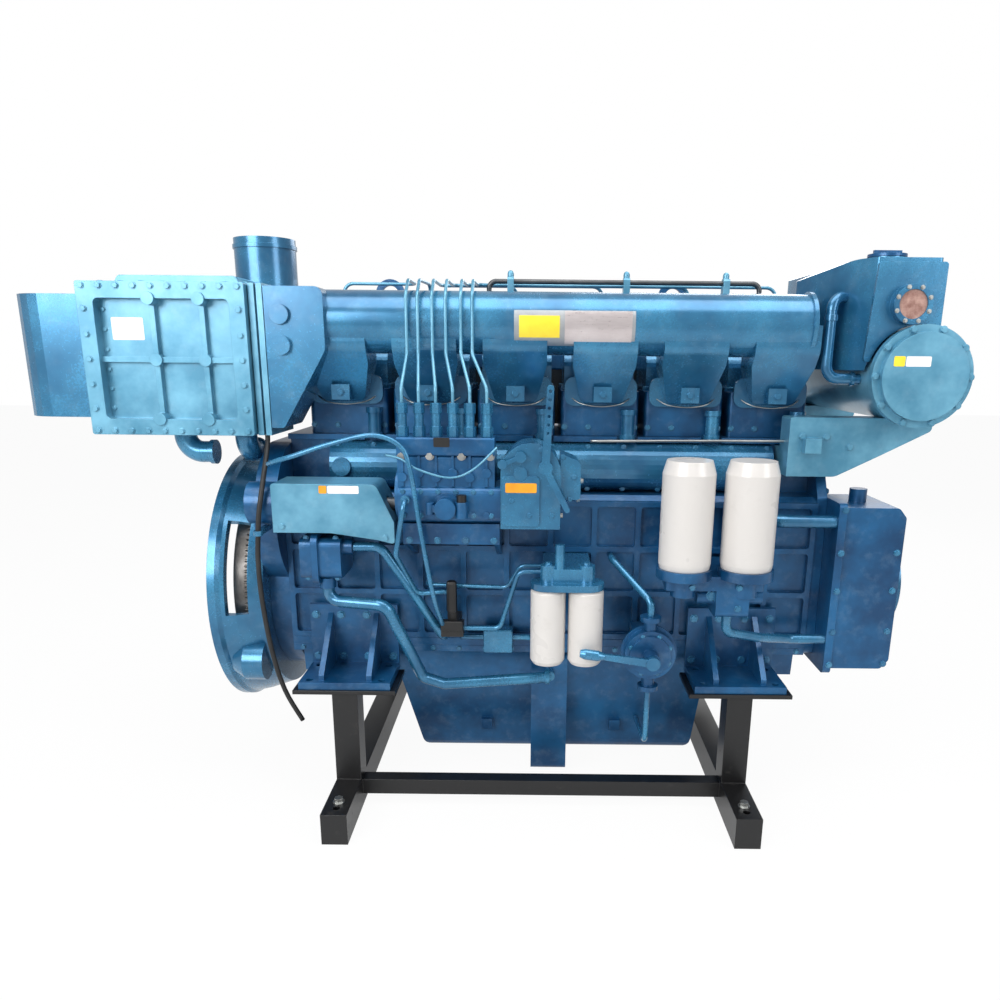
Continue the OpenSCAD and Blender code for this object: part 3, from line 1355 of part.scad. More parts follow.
module lube_oil_pipes() {
  z0 = lube_z[0] - lube_port.y / 2 - gap;
  x0 = lube_x[1] + lube_port.y - over + gap;
  e = suction_end;
  color(paint) {
    pipe(concat([[suction_x0, lube_y + suction_out.x, z0],
      [suction_x0, lube_y + suction_out.x, z0 - suction_drop],
      [suction_x0 + suction_out.y, lube_y + suction_out.z, z0 - suction_drop]], suction_via, [e]),
      suction_r, suction_bend);
    bar_x([e.x - union_l, e.y, e.z], suction_r * 1.4, union_l);
    bar_y(e, suction_r - over, trunk_y[0] - gap - e.y);
    pipe(concat([[x0, lube_y + delivery_out.x, lube_z[1] + delivery_out.y]], delivery_via,
      [[delivery_via[2].x, -foot_in - gap, delivery_via[2].z]]), delivery_r, delivery_bend);
  }
}

// Fuel filters: a head with two spin-on filters
fuel_x = [869, 962];
fuel_y = -428;
fuel_top_z = 86;
fuel_head_h = 50;
fuel_post = [896, 12, 240];

module fuel_filter_head() {
  color(paint) {
    slab_z(fuel_top_z + gap, 16, rounded(rect([fuel_x[0] - fuel_can_r, fuel_y - fuel_can_r],
      [fuel_x[1] - fuel_x[0] + 2 * fuel_can_r, 2 * fuel_can_r]), fuel_can_r - 2));
    box([fuel_x[0] - 12, fuel_y - 16, fuel_top_z + 2], [fuel_x[1] + 12, -foot_in, fuel_top_z + fuel_head_h]);
    for (x = fuel_x) bar_z([x, fuel_y, fuel_top_z + 2], 20, fuel_head_h + 6);
    bar_z([fuel_post.x, fuel_y - 4, fuel_top_z + fuel_head_h - over], fuel_post.y, 60);
  }
}

can_share = [0.86, 0.96, 0.05, 0.12];

module fuel_filters() {
  color("whitesmoke") for (x = fuel_x) turned_z([x, fuel_y, fuel_top_z - fuel_can_h], [
    [0, 0], [fuel_can_r * can_share[0], 0], [fuel_can_r, fuel_can_h * can_share[2]],
    [fuel_can_r, fuel_can_h * can_share[1]], [fuel_can_r * can_share[0], fuel_can_h], [0, fuel_can_h]]);
}

// Fuel pipes along the crankcase, with the stop valve between them
fuel_pipe_r = 6;
fuel_bend = 22;
fuel_valve_at = [628, -372, -40];
fuel_valve_size = [56, 40, 34];

supply_via = [[748, -372, -40], [796, -400, 118]];
return_via = [[560, -340, 66], [766, -360, 66], [800, -380, 128]];
bleed_via = [[527, -452, 300], [503, -452, 170], [540, -372, 50]];
bleed_up = 30;
banjo = [11, 12];
fuel_stub = 12;

module fuel_pipes() {
  v = fuel_valve_at;
  hx = fuel_x[0] - fuel_stub - gap;
  b = bleed_via[0];
  color(paint) {
    pipe(concat([[v.x + fuel_valve_size.x / 2 + gap, v.y, v.z]], supply_via,
      [[hx, supply_via[1].y, supply_via[1].z]]), fuel_pipe_r, fuel_bend);
    pipe(concat([[return_via[0].x, -foot_in - gap, return_via[0].z]], return_via,
      [[hx, return_via[2].y, return_via[2].z]]), fuel_pipe_r - over, fuel_bend);
    pipe(concat([[b.x, pump_y[0] - banjo.y - gap * 2, b.z]], bleed_via,
      [[v.x, v.y, v.z + fuel_valve_size.z * 2 + bleed_up],
      [v.x, v.y, v.z + fuel_valve_size.z * 1.5 + gap]]), fuel_pipe_r, fuel_bend);
    bar_y([b.x, pump_y[0] - banjo.y - gap, b.z], banjo.x, banjo.y);
  }
}

module fuel_valve() {
  v = fuel_valve_at;
  s = fuel_valve_size;
  color("dimgray") {
    box(v - s / 2, v + s / 2);
    bar_z([v.x, v.y, v.z + s.z / 2 - over], 13, s.z + over);
    box([v.x - 14, v.y, v.z - 12], [v.x + 14, -foot_in, v.z + 12]);
  }
}

// Oil filters on their base, with the valve body and pipes under it
oil_x = [1193, 1341];
oil_y = -450;
oil_seat_z = 147;
base_t = 24;
valve_x = [1271, 1351];
valve_z = [26, 113];

module oil_filter_base() {
  color(paint) {
    for (x = oil_x) bar_z([x, oil_y, oil_seat_z - base_t], oil_can_r + 4, base_t - gap);
    slab_z(oil_seat_z - base_t - 30, 36, rounded([[oil_x[0] - 46, oil_y - 20], [oil_x[1] + 46, oil_y - 20],
      [oil_x[1] + 30, -foot_in], [oil_x[0] - 30, -foot_in]], 12));
    for (x = oil_x) bar_z([x, oil_y, oil_seat_z - base_t - 46], 30, 48);
    slab_x(valve_x[0], valve_x[1] - valve_x[0], rounded(rect([-470, valve_z[0]],
      [90, valve_z[1] - valve_z[0]]), 14));
    bar_x([valve_x[0] - 40, -425, (valve_z[0] + valve_z[1]) / 2], 20, valve_x[1] - valve_x[0] + 80);
  }
}

module oil_filters() {
  color("whitesmoke") for (x = oil_x) turned_z([x, oil_y, oil_seat_z], [
    [0, 0], [oil_can_r * can_share[1], 0], [oil_can_r, oil_can_h * can_share[2]],
    [oil_can_r, oil_can_h * (1 - can_share[3])], [oil_can_r * can_share[0], oil_can_h], [0, oil_can_h]]);
}

// Oil and hand pump pipes at the filters
filter_bend = 26;

drain_via = [[1310, -425, -24], [1400, -392, -50], [1500, -332, -74]];
cooler_pipe = [1435, -326, 236];
cooler_pipe_r = [16, 34];
wing_out = [34, 36, 150];
wing_side = [90, 30];
wing_pipe_r = [9, 7];
sump_via = [-330, -352];
sump_boss = [40, 20];

module filter_pipes() {
  wz = wing_at.z + wing_r;
  y0 = wing_at.y + sump_boss.y;
  yp = -pan_bottom_half - sump_boss.x;
  cx = front_x1 + gap;
  color(paint) {
    pipe(concat([[drain_via[0].x, drain_via[0].y, valve_z[0] - gap]], drain_via,
      [[cx, drain_via[2].y, drain_via[2].z]]), delivery_r, filter_bend);
    pipe([[cooler_pipe.x, -foot_in - gap, cooler_pipe.z], cooler_pipe,
      [cx, cooler_pipe.y, cooler_pipe.z]], cooler_pipe_r.x, cooler_pipe_r.y);
    pipe([[wing_at.x, y0, wz + wing_out.x + gap], [wing_at.x, y0, wz + wing_out.x + wing_out.y],
      [wing_at.x - wing_side.x, -foot_in - wing_side.y, wz + wing_out.z],
      [wing_at.x - wing_side.x, -foot_in - gap, wz + wing_out.z]], wing_pipe_r.x, filter_bend);
    pipe([[wing_at.x, y0, wing_at.z - wing_r - wing_out.x - gap], [wing_at.x, y0, sump_via.x],
      [wing_at.x, yp, sump_via.y], [wing_at.x, yp + sump_boss.y, sump_via.y]], wing_pipe_r.y, filter_bend);
  }
}

// Hand wing pump with its lever
wing_at = [1125, -434, -86];
wing_l = 52;
wing_flange = [26, 12];
wing_pin_r = 9;
wing_arm = 128;
wing_lift = 8;

module wing_pump() {
  color(paint) difference() {
    union() {
      bar_y(wing_at, wing_r, wing_l);
      bar_y([wing_at.x, wing_at.y - 6, wing_at.z], wing_r - 12, 8);
      bar_y([wing_at.x, wing_at.y + wing_l / 2, wing_at.z], wing_r + 8, 8);
      bar_y([wing_at.x, wing_at.y - 46, wing_at.z], 20, 48);
      for (s = [0, 180]) translate([wing_at.x, wing_at.y + 20, wing_at.z]) rotate([s, 0, 0]) {
        bar_z([0, 0, wing_r - 10], wing_flange.x - 10, 44);
        bar_z([0, 0, wing_r + 34 - wing_flange.y], wing_flange.x, wing_flange.y);
      }
      box([wing_at.x - 34, wing_at.y + wing_l - over, wing_at.z - 34],
        [wing_at.x + 34, -foot_in, wing_at.z + 34]);
    }
    bar_y([wing_at.x, wing_at.y - 46 - over, wing_at.z], wing_pin_r + run_gap, 60);
  }
}

module wing_pump_lever() {
  y0 = wing_at.y - 62;
  color(paint) translate([wing_at.x, 0, wing_at.z]) {
    bar_y([0, y0, 0], wing_pin_r, 70);
    bar_y([0, y0, 0], wing_pin_r + 8, 15);
    rotate([0, wing_lift, 0]) {
      slab_y(y0 + 3, 9, rounded([[-wing_arm, -7], [0, -10], [0, 10], [-wing_arm, 7]], [4, 0, 0, 4]));
      translate([-wing_arm - 52, y0 + 7.5, 0]) rotate([0, 90, 0]) rotate_extrude($fn = fine)
        polygon([[0, 0], [9, 0], [13, 12], [13, 44], [8, 60], [0, 60]]);
    }
  }
}

// Transport stand: floor beams, posts, rails and gussets in square tube
floor_z = foot_z[0] - gap - stand_h;
beam_h = 80;
beam_half = 600;
post_y = 398;
rail_z = [32, 41];
stand_cap = [[-130, 130], [288, 436], 10];
stand_gusset = 70;
anchor_r = 9;
anchor_y = 568;

rail_w = 20;

module stand() {
  z0 = floor_z + beam_h;
  zt = foot_z[0] - gap;
  mids = [for (x = foot_x) (x[0] + x[1]) / 2];
  color("#202020") difference() {
    union() for (x = mids) {
      box([x - tube_w / 2, -beam_half, floor_z], [x + tube_w / 2, beam_half, z0]);
      for (s = [-1, 1]) {
        box([x - tube_w / 2, s * post_y - tube_w / 2, z0 - over],
          [x + tube_w / 2, s * post_y + tube_w / 2, zt]);
        box([x + stand_cap[0][0], min(s * stand_cap[1][0], s * stand_cap[1][1]), zt - stand_cap[2]],
          [x + stand_cap[0][1], max(s * stand_cap[1][0], s * stand_cap[1][1]), zt]);
        slab_x(x - 5, 10, [[s * (post_y - tube_w / 2 + over), z0 - over],
          [s * (post_y - tube_w / 2 - stand_gusset), z0 - over],
          [s * (post_y - tube_w / 2 + over), z0 + stand_gusset]]);
        box([mids[0], s * post_y - rail_w, floor_z + rail_z[0]],
          [mids[1], s * post_y + rail_w, floor_z + rail_z[0] + rail_z[1]]);
      }
    }
    for (x = mids) for (s = [-1, 1]) bar_z([x, s * anchor_y, floor_z - over], anchor_r, beam_h + through);
    for (x = mids) for (s = [-1, 1]) for (dx = [-foot_hole_dx, foot_hole_dx]) for (y = foot_hole_y)
      bar_z([x + dx, s * y, zt - stand_cap[2] - over], foot_hole_r, stand_cap[2] + through);
  }
}

// Drain hose: hangs from its clip past the bell housing to an open end
hose_r = 6;
hose_route = [[172, -312, 437], [172, -316, 420], [176, -345, 390], [180, -385, 350],
  [178, -412, 300], [172, -418, 260], [166, -416, 212], [160, -414, 144], [162, -414, 42],
  [175, -410, -91], [199, -405, -201], [238, -400, -287]];
hose_n = 8;
hose_steps = 5;

function spline(p, i, t) = let (n = len(p) - 1, a = p[max(i - 1, 0)], b = p[i], c = p[i + 1],
  d = p[min(i + 2, n)])
  0.5 * (2 * b + (c - a) * t + (2 * a - 5 * b + 4 * c - d) * t * t + (3 * b - 3 * c + d - a) * t * t * t);

module hose(route, r, steps) {
  path = concat([for (i = [0:len(route) - 2]) for (s = [0:steps - 1]) spline(route, i, s / steps)],
    [route[len(route) - 1]]);
  last = len(path) - 1;
  rings = [for (i = [0:last]) let (d = unit(path[min(i + 1, last)] - path[max(i - 1, 0)]),
    u = unit(cross(d, [1, 0, 0])), w = cross(d, u))
    [for (q = [0:hose_n - 1]) path[i] + r * (u * cos(q * 360 / hose_n) + w * sin(q * 360 / hose_n))]];
  polyhedron([for (ring = rings) for (p = ring) p], concat(
    [[for (q = [0:hose_n - 1]) q]], [[for (q = [hose_n - 1:-1:0]) last * hose_n + q]],
    [for (i = [0:last - 1]) for (q = [0:hose_n - 1])
      let (a = i * hose_n + q, b = i * hose_n + (q + 1) % hose_n)
      each [[a, a + hose_n, b], [b, a + hose_n, b + hose_n]]]));
}

module drain_hose() {
  color("#181818") hose(hose_route, hose_r, hose_steps);
}

clip_at = hose_route[6];
clip_bore = hose_r + 1;
clip_wall = 4;
clip_h = 12;
clip_arm = 14;

module hose_clip() {
  z = clip_at.z - clip_h / 2;
  case_face_y = case_bulge.x - case_bulge_r - gap;
  color(paint) difference() {
    union() {
      box([clip_at.x - clip_arm / 2, clip_at.y, z], [clip_at.x + clip_arm / 2, case_face_y, z + clip_h]);
      bar_z([clip_at.x, clip_at.y, z], clip_bore + clip_wall, clip_h);
    }
    bar_z([clip_at.x, clip_at.y, z - over], clip_bore, clip_h + through);
  }
}

cylinder_block();
cam_chest();
oil_pan();
cylinder_heads();
rocker_covers();
push_rod_tubes();
crankshaft();
flywheel();
crank_pulley();
flywheel_housing();
gear_case();
front_cover();
engine_feet();
intake_manifold();
manifold_clips();
lifting_eyes();
intercooler_housing();
intercooler_cover();
intercooler_elbows();
charge_air_duct();
compressor_housing();
turbine_housing();
turbo_rotor();
exhaust_manifold();
exhaust_outlet();
expansion_tank();
sight_glass();
filler_cap();
level_pipe();
heat_exchanger();
thermostat_housing();
oil_cooler();
raw_water_pump();
starter_motor();
injection_pump();
delivery_valves();
injection_pipes();
leak_off_pipe();
pump_bracket();
drive_coupling();
coupling_guard();
governor();
speed_lever();
stop_lever();
feed_pump();
primer_plunger();
lube_oil_pump();
lube_oil_pipes();
fuel_filter_head();
fuel_filters();
fuel_pipes();
fuel_valve();
oil_filter_base();
oil_filters();
filter_pipes();
wing_pump();
wing_pump_lever();
stand();
drain_hose();
hose_clip();
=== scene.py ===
import math
import bmesh
import bpy
from mathutils import Matrix, Vector
from mathutils.bvhtree import BVHTree


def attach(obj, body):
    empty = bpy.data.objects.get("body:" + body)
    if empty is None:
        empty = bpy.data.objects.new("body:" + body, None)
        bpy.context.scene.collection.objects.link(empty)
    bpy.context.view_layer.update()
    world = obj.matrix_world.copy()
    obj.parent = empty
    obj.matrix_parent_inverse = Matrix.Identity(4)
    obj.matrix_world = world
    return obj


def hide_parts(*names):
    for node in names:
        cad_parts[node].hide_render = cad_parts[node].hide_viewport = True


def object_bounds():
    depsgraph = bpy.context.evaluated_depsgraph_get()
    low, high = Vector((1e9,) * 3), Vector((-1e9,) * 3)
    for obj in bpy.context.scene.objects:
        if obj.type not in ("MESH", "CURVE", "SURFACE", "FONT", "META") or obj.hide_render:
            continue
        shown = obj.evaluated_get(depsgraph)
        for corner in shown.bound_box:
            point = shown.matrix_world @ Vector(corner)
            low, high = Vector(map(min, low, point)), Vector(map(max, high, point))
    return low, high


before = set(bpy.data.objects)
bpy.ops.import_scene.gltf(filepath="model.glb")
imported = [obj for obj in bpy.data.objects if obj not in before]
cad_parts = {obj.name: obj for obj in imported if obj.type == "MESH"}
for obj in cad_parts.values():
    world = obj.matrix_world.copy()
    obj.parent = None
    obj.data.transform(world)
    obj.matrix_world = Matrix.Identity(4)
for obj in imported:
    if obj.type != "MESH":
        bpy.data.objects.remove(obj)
cadBox = [list(corner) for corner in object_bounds()]
scene = bpy.context.scene
scene.view_settings.view_transform = "Standard"
millimetre = 0.001

# camera
viewPoint = {
    "place": (0.836, -2.304, 0.636),
    "pitchDown": 14.8,
    "roll": 0.6,
    "lens": 28.8,
    "sensor": 36.0,
    "shift": (-0.035, 0.066),
}


def makeCamera(spec):
    data = bpy.data.cameras.new("camera")
    data.lens, data.sensor_width = spec["lens"], spec["sensor"]
    data.shift_x, data.shift_y = spec["shift"]
    camera = bpy.data.objects.new("camera", data)
    scene.collection.objects.link(camera)
    tilt = Matrix.Rotation(math.radians(90 - spec["pitchDown"]), 4, "X")
    roll = Matrix.Rotation(math.radians(spec["roll"]), 4, "Z")
    camera.matrix_world = Matrix.Translation(spec["place"]) @ tilt @ roll
    scene.camera = camera


makeCamera(viewPoint)
print("camera placed")


# shader maths: sums and products of sockets become nodes
class Wire:
    def __init__(self, recipe, socket):
        self.recipe, self.socket = recipe, socket

    def maths(self, operation, *values):
        return self.recipe.add("ShaderNodeMath", {"operation": operation}, dict(enumerate(values)))

    def __add__(self, other):
        return self.maths("ADD", self, other)

    def __mul__(self, other):
        return self.maths("MULTIPLY", self, other)

    def larger(self, other):
        return self.maths("MAXIMUM", self, other)

    def root(self):
        return self.maths("SQRT", self)

    def sine(self):
        return self.maths("SINE", self)


class Recipe:
    def __init__(self, name):
        self.material = bpy.data.materials.new(name)
        self.material.use_nodes = True
        self.tree = self.material.node_tree
        self.shader = self.tree.nodes["Principled BSDF"]

    def add(self, kind, settings=None, values=None, out=0):
        node = self.tree.nodes.new(kind)
        for key, value in (settings or {}).items():
            setattr(node, key, value)
        for key, value in (values or {}).items():
            self.feed(node.inputs[key], value)
        return Wire(self, node.outputs[out])

    def feed(self, socket, value):
        if isinstance(value, Wire):
            self.tree.links.new(value.socket, socket)
        elif isinstance(value, tuple) and len(value) == 3 and socket.type == "RGBA":
            socket.default_value = (*value, 1.0)
        else:
            socket.default_value = value

    def objectPlace(self):
        return self.add("ShaderNodeTexCoord", out="Object")

    def noise(self, scale, detail=3.0, roughness=0.55, place=None):
        return self.add("ShaderNodeTexNoise", None, {"Vector": place or self.objectPlace(), "Scale": scale,
                                                     "Detail": detail, "Roughness": roughness})

    def mask(self, fac, low, high):
        values = {"Value": fac, "From Min": low, "From Max": high, "To Min": 0.0, "To Max": 1.0}
        return self.add("ShaderNodeMapRange", {"clamp": True}, values)

    def blend(self, mask, one, other):
        return self.add("ShaderNodeMix", {"data_type": "RGBA"}, {0: mask, 6: one, 7: other}, out=2)

    def shades(self, mask, one, other):
        return self.blend(mask, linear(*one), linear(*other))

    def edge(self, kind):
        return self.add("ShaderNodeBevel", {"samples": edges["samples"]}, {"Radius": edges[kind]})

    def bump(self, height, strength, distance, normal=None):
        values = {"Height": height, "Strength": strength, "Distance": distance}
        if normal:
            values["Normal"] = normal
        return self.add("ShaderNodeBump", None, values)

    def finish(self, **sockets):
        for key, value in sockets.items():
            self.feed(self.shader.inputs[key.replace("_", " ")], value)
        return self.material


def linear(*shade):
    return tuple(c / 12.92 if c <= 0.04045 else ((c + 0.055) / 1.055) ** 2.4 for c in shade)


# how far edges look rounded, in metres
edges = {"samples": 4, "painted": 0.0016, "bare": 0.0008, "stand": 0.003}

# noise is given as scale, detail and roughness
paintLooks = {
    # the cast paint: its coarse grain is the cast skin, its darker blue is painted shade
    "castPaintWithPaintedShade": {"deep": (0.03, 0.24, 0.40), "pale": (0.09, 0.37, 0.56), "rough": (0.30, 0.44),
                  "metal": 0.45, "coat": 0.25, "grain": 900.0, "grainDepth": 0.00022, "cloud": 7.0},
    "smoothPaint": {"deep": (0.12, 0.36, 0.51), "pale": (0.23, 0.52, 0.67), "rough": (0.20, 0.32),
                    "metal": 0.50, "coat": 0.45, "grain": 420.0, "grainDepth": 0.00006, "cloud": 5.0},
    # the pale paint: the same blue made paler, a painted highlight for pieces that face the lamps
    "paintedHighlightPaint": {"deep": (0.27, 0.51, 0.62), "pale": (0.42, 0.65, 0.75), "rough": (0.28, 0.42),
                  "metal": 0.40, "coat": 0.30, "grain": 1100.0, "grainDepth": 0.00016, "cloud": 9.0},
}
paintWear = {"cloud": (4.0, 0.6), "cloudRange": (0.35, 0.68), "speck": (0.35, 2.0), "mix": (0.6, 0.4),
             "dust": (31.0, 5.0, 0.65), "dustRange": (0.52, 0.78), "dustShare": 0.12,
             "dustShade": (0.62, 0.72, 0.78), "roughRange": (0.3, 0.7), "strength": 0.5, "coatRough": 0.16}


def makePaint(name, look):
    mix, wear = Recipe(name), paintWear
    cloud = mix.noise(look["cloud"], *wear["cloud"])
    finer, detail = wear["speck"]
    speck = mix.noise(look["grain"] * finer, detail)
    colour = mix.shades(mix.mask(cloud, *wear["cloudRange"]), look["deep"], look["pale"])
    dust = mix.mask(mix.noise(*wear["dust"]), *wear["dustRange"]) * wear["dustShare"]
    colour = mix.blend(dust, colour, linear(*wear["dustShade"]))
    ofCloud, ofSpeck = wear["mix"]
    shiny, dull = look["rough"]
    rough = mix.mask(cloud * ofCloud + speck * ofSpeck, *wear["roughRange"]) * (dull - shiny) + shiny
    skin = mix.bump(mix.noise(look["grain"]), wear["strength"], look["grainDepth"], mix.edge("painted"))
    return mix.finish(Base_Color=colour, Roughness=rough, Metallic=look["metal"], Coat_Weight=look["coat"],
                      Coat_Roughness=wear["coatRough"], Normal=skin)


metalLooks = {
    "zincSteel": {"dark": (0.55, 0.56, 0.56), "pale": (0.78, 0.78, 0.76), "rough": 0.36,
                  "streak": (1, 0.3, 1), "metal": 1.0, "depth": 0.00004},
    "darkSteel": {"dark": (0.26, 0.27, 0.28), "pale": (0.42, 0.43, 0.44), "rough": 0.42,
                  "streak": (0.2, 1, 1), "metal": 1.0, "depth": 0.00004},
    "hotIron": {"dark": (0.20, 0.15, 0.12), "pale": (0.36, 0.26, 0.20), "rough": 0.62,
                "streak": (1, 1, 1), "metal": 0.45, "depth": 0.0003},
    "castAluminium": {"dark": (0.58, 0.60, 0.62), "pale": (0.76, 0.77, 0.78), "rough": 0.44,
                      "streak": (1, 1, 1), "metal": 0.9, "depth": 0.0002},
    "bronze": {"dark": (0.42, 0.33, 0.18), "pale": (0.62, 0.50, 0.30), "rough": 0.40,
               "streak": (1, 1, 1), "metal": 0.85, "depth": 0.0002},
    "plateSilver": {"dark": (0.74, 0.70, 0.70), "pale": (0.86, 0.83, 0.83), "rough": 0.30,
                    "streak": (0.15, 1, 1), "metal": 0.75, "depth": 0.00004},
}
metalWear = {"lines": (240.0, 4.0, 0.7), "stain": (18.0, 5.0, 0.6), "stainRange": (0.45, 0.75),
             "mix": (0.6, 0.4), "roughShares": (0.6, 0.7), "strength": 0.4}


def makeMetal(name, look):
    mix, wear = Recipe(name), metalWear
    stretched = mix.add("ShaderNodeMapping", None, {"Vector": mix.objectPlace(), "Scale": look["streak"]})
    lines = mix.noise(*wear["lines"], stretched)
    stain = mix.mask(mix.noise(*wear["stain"]), *wear["stainRange"])
    ofLines, ofStain = wear["mix"]
    varied, fixed = wear["roughShares"]
    rough = lines * look["rough"] * varied + look["rough"] * fixed
    return mix.finish(Base_Color=mix.shades(lines * ofLines + stain * ofStain, look["dark"], look["pale"]),
                      Roughness=rough, Metallic=look["metal"],
                      Normal=mix.bump(lines, wear["strength"], look["depth"], mix.edge("bare")))


# the flywheel's face, with fine rings round the crankshaft's axis
turnedLook = {"dark": (0.34, 0.33, 0.32), "pale": (0.52, 0.51, 0.50), "rings": 5200.0, "depth": 0.00003,
              "strength": 0.25, "stain": (14.0, 5.0, 0.6), "stainRange": (0.40, 0.72), "rough": 0.42,
              "stainShine": -0.12, "metal": 0.9}


def makeTurnedIron(name, look):
    mix = Recipe(name)
    place = {"Vector": mix.objectPlace()}
    y, z = (mix.add("ShaderNodeSeparateXYZ", None, place, out=axis) for axis in ("Y", "Z"))
    rings = ((y * y + z * z).root() * look["rings"]).sine()
    stain = mix.mask(mix.noise(*look["stain"]), *look["stainRange"])
    return mix.finish(Base_Color=mix.shades(stain, look["dark"], look["pale"]),
                      Roughness=stain * look["stainShine"] + look["rough"], Metallic=look["metal"],
                      Normal=mix.bump(rings, look["strength"], look["depth"], mix.edge("bare")))


filterLook = {"clean": (0.79, 0.775, 0.76), "smudged": (0.68, 0.66, 0.64), "smudge": (26.0, 6.0, 0.7),
              "smudgeRange": (0.56, 0.80), "smudgeShare": 0.25, "cloud": 9.0, "cloudRough": 0.14,
              "rough": 0.22, "coat": 0.3, "coatRough": 0.12, "waves": (160.0, 2.0), "strength": 0.25,
              "depth": 0.00008}


def makeFilterWhite(name, look):
    mix = Recipe(name)
    cloud = mix.noise(look["cloud"])
    smudge = mix.mask(mix.noise(*look["smudge"]), *look["smudgeRange"]) * look["smudgeShare"]
    skin = mix.bump(mix.noise(*look["waves"]), look["strength"], look["depth"], mix.edge("painted"))
    return mix.finish(Base_Color=mix.shades(smudge, look["clean"], look["smudged"]), Normal=skin,
                      Roughness=cloud * look["cloudRough"] + look["rough"], Coat_Weight=look["coat"],
                      Coat_Roughness=look["coatRough"])


standLook = {"paint": (0.055, 0.055, 0.06), "bare": (0.23, 0.22, 0.21), "wear": (38.0, 6.0, 0.72),
             "wearRange": (0.60, 0.72), "wearShare": 0.35, "wornRough": 0.5, "rough": 0.36,
             "grain": 300.0, "strength": 0.3, "depth": 0.0002}


def makeStandBlack(name, look):
    mix = Recipe(name)
    worn = mix.mask(mix.noise(*look["wear"]), *look["wearRange"]) * look["wearShare"]
    skin = mix.bump(mix.noise(look["grain"]), look["strength"], look["depth"], mix.edge("stand"))
    return mix.finish(Base_Color=mix.shades(worn, look["paint"], look["bare"]), Normal=skin,
                      Roughness=worn * look["wornRough"] + look["rough"])


# rubber, knobs and labels: two shades and a roughness each
plainLooks = {
    "hoseRubber": ((0.05, 0.05, 0.055), (0.12, 0.12, 0.12), 0.48),
    "knobBlack": ((0.04, 0.04, 0.045), (0.09, 0.09, 0.09), 0.32),
    "plateYellow": ((0.95, 0.84, 0.22), (0.90, 0.78, 0.16), 0.34),
    "plateOrange": ((0.93, 0.62, 0.12), (0.86, 0.55, 0.10), 0.34),
    "plateWhite": ((0.93, 0.92, 0.92), (0.84, 0.83, 0.83), 0.34),
}
plainWear = {"cloud": (24.0, 5.0, 0.65), "cloudRange": (0.40, 0.75), "dull": 40.0, "dullShare": 0.16,
             "grain": (500.0, 2.0), "strength": 0.4, "depth": 0.00006}


def makePlain(name, shade, other, rough):
    mix, wear = Recipe(name), plainWear
    cloud = mix.mask(mix.noise(*wear["cloud"]), *wear["cloudRange"])
    return mix.finish(Base_Color=mix.shades(cloud, shade, other),
                      Roughness=mix.noise(wear["dull"]) * wear["dullShare"] + rough,
                      Normal=mix.bump(mix.noise(*wear["grain"]), wear["strength"], wear["depth"]))


sightLook = {"deep": (0.52, 0.37, 0.33), "pale": (0.74, 0.60, 0.55), "cloud": (55.0, 4.0, 0.6),
             "cloudRange": (0.35, 0.7), "cloudRough": 0.08, "rough": 0.06, "coat": 0.8, "coatRough": 0.03}


def makeSightGlass(name, look):
    mix = Recipe(name)
    cloud = mix.noise(*look["cloud"])
    return mix.finish(Base_Color=mix.shades(mix.mask(cloud, *look["cloudRange"]), look["deep"], look["pale"]),
                      Roughness=cloud * look["cloudRough"] + look["rough"], Coat_Weight=look["coat"],
                      Coat_Roughness=look["coatRough"])


finishes = {
    **{name: makePaint(name, look) for name, look in paintLooks.items()},
    **{name: makeMetal(name, look) for name, look in metalLooks.items()},
    **{name: makePlain(name, *look) for name, look in plainLooks.items()},
    "turnedIron": makeTurnedIron("turnedIron", turnedLook),
    "filterWhite": makeFilterWhite("filterWhite", filterLook),
    "standBlack": makeStandBlack("standBlack", standLook),
    "sightGlass": makeSightGlass("sightGlass", sightLook),
}
print("finishes made:", len(finishes))

# which finish each piece of the construction has; the rest are cast and painted, in the cast paint whose
# darker blue is painted shade
finishOfNode = {
    "smoothPaint": ["delivery_valves", "flywheel_housing", "intake_manifold", "charge_air_duct",
                    "expansion_tank", "rocker_covers", "cam_chest", "level_pipe", "exhaust_outlet",
                    "intercooler_elbows", "lube_oil_pipes", "filter_pipes", "fuel_pipes", "governor",
                    "fuel_filter_head", "push_rod_tubes", "wing_pump_lever", "speed_lever", "stop_lever",
                    "hose_clip", "crank_pulley"],
    # these pieces take the pale paint, a painted highlight
    "paintedHighlightPaint": ["injection_pipes", "intercooler_cover", "intercooler_housing", "coupling_guard",
                  "manifold_clips", "thermostat_housing", "heat_exchanger"],
    "darkSteel": ["crankshaft", "drive_coupling", "leak_off_pipe"],
    "turnedIron": ["flywheel"],
    "hotIron": ["exhaust_manifold", "turbine_housing"],
    "castAluminium": ["compressor_housing", "turbo_rotor"],
    "bronze": ["raw_water_pump"],
    "filterWhite": ["fuel_filters", "oil_filters"],
    "standBlack": ["stand"],
    "knobBlack": ["primer_plunger"],
    "sightGlass": ["sight_glass"],
    "hoseRubber": ["drain_hose", "fuel_valve"],
}
nodeFinish = {node: finish for finish, nodes in finishOfNode.items() for node in nodes}
for name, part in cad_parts.items():
    material = finishes[nodeFinish.get(name, "castPaintWithPaintedShade")]
    part.data.materials.clear()
    part.data.materials.append(material)
print("nodes dressed:", len(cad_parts))

# drain hose: one length of rubber hose; its route is in millimetres, its other sizes in metres
hoseRoute = [(172, -312, 437), (172, -316, 420), (176, -345, 390), (180, -385, 350), (178, -412, 300),
             (172, -418, 260), (166, -416, 212), (160, -414, 144), (162, -414, 42), (175, -410, -91),
             (199, -405, -201), (238, -400, -287)]
hoseLook = {"radius": 0.006, "wall": 0.0015, "mouthDepth": 0.012, "sides": 16, "stepsBetweenPoints": 5}


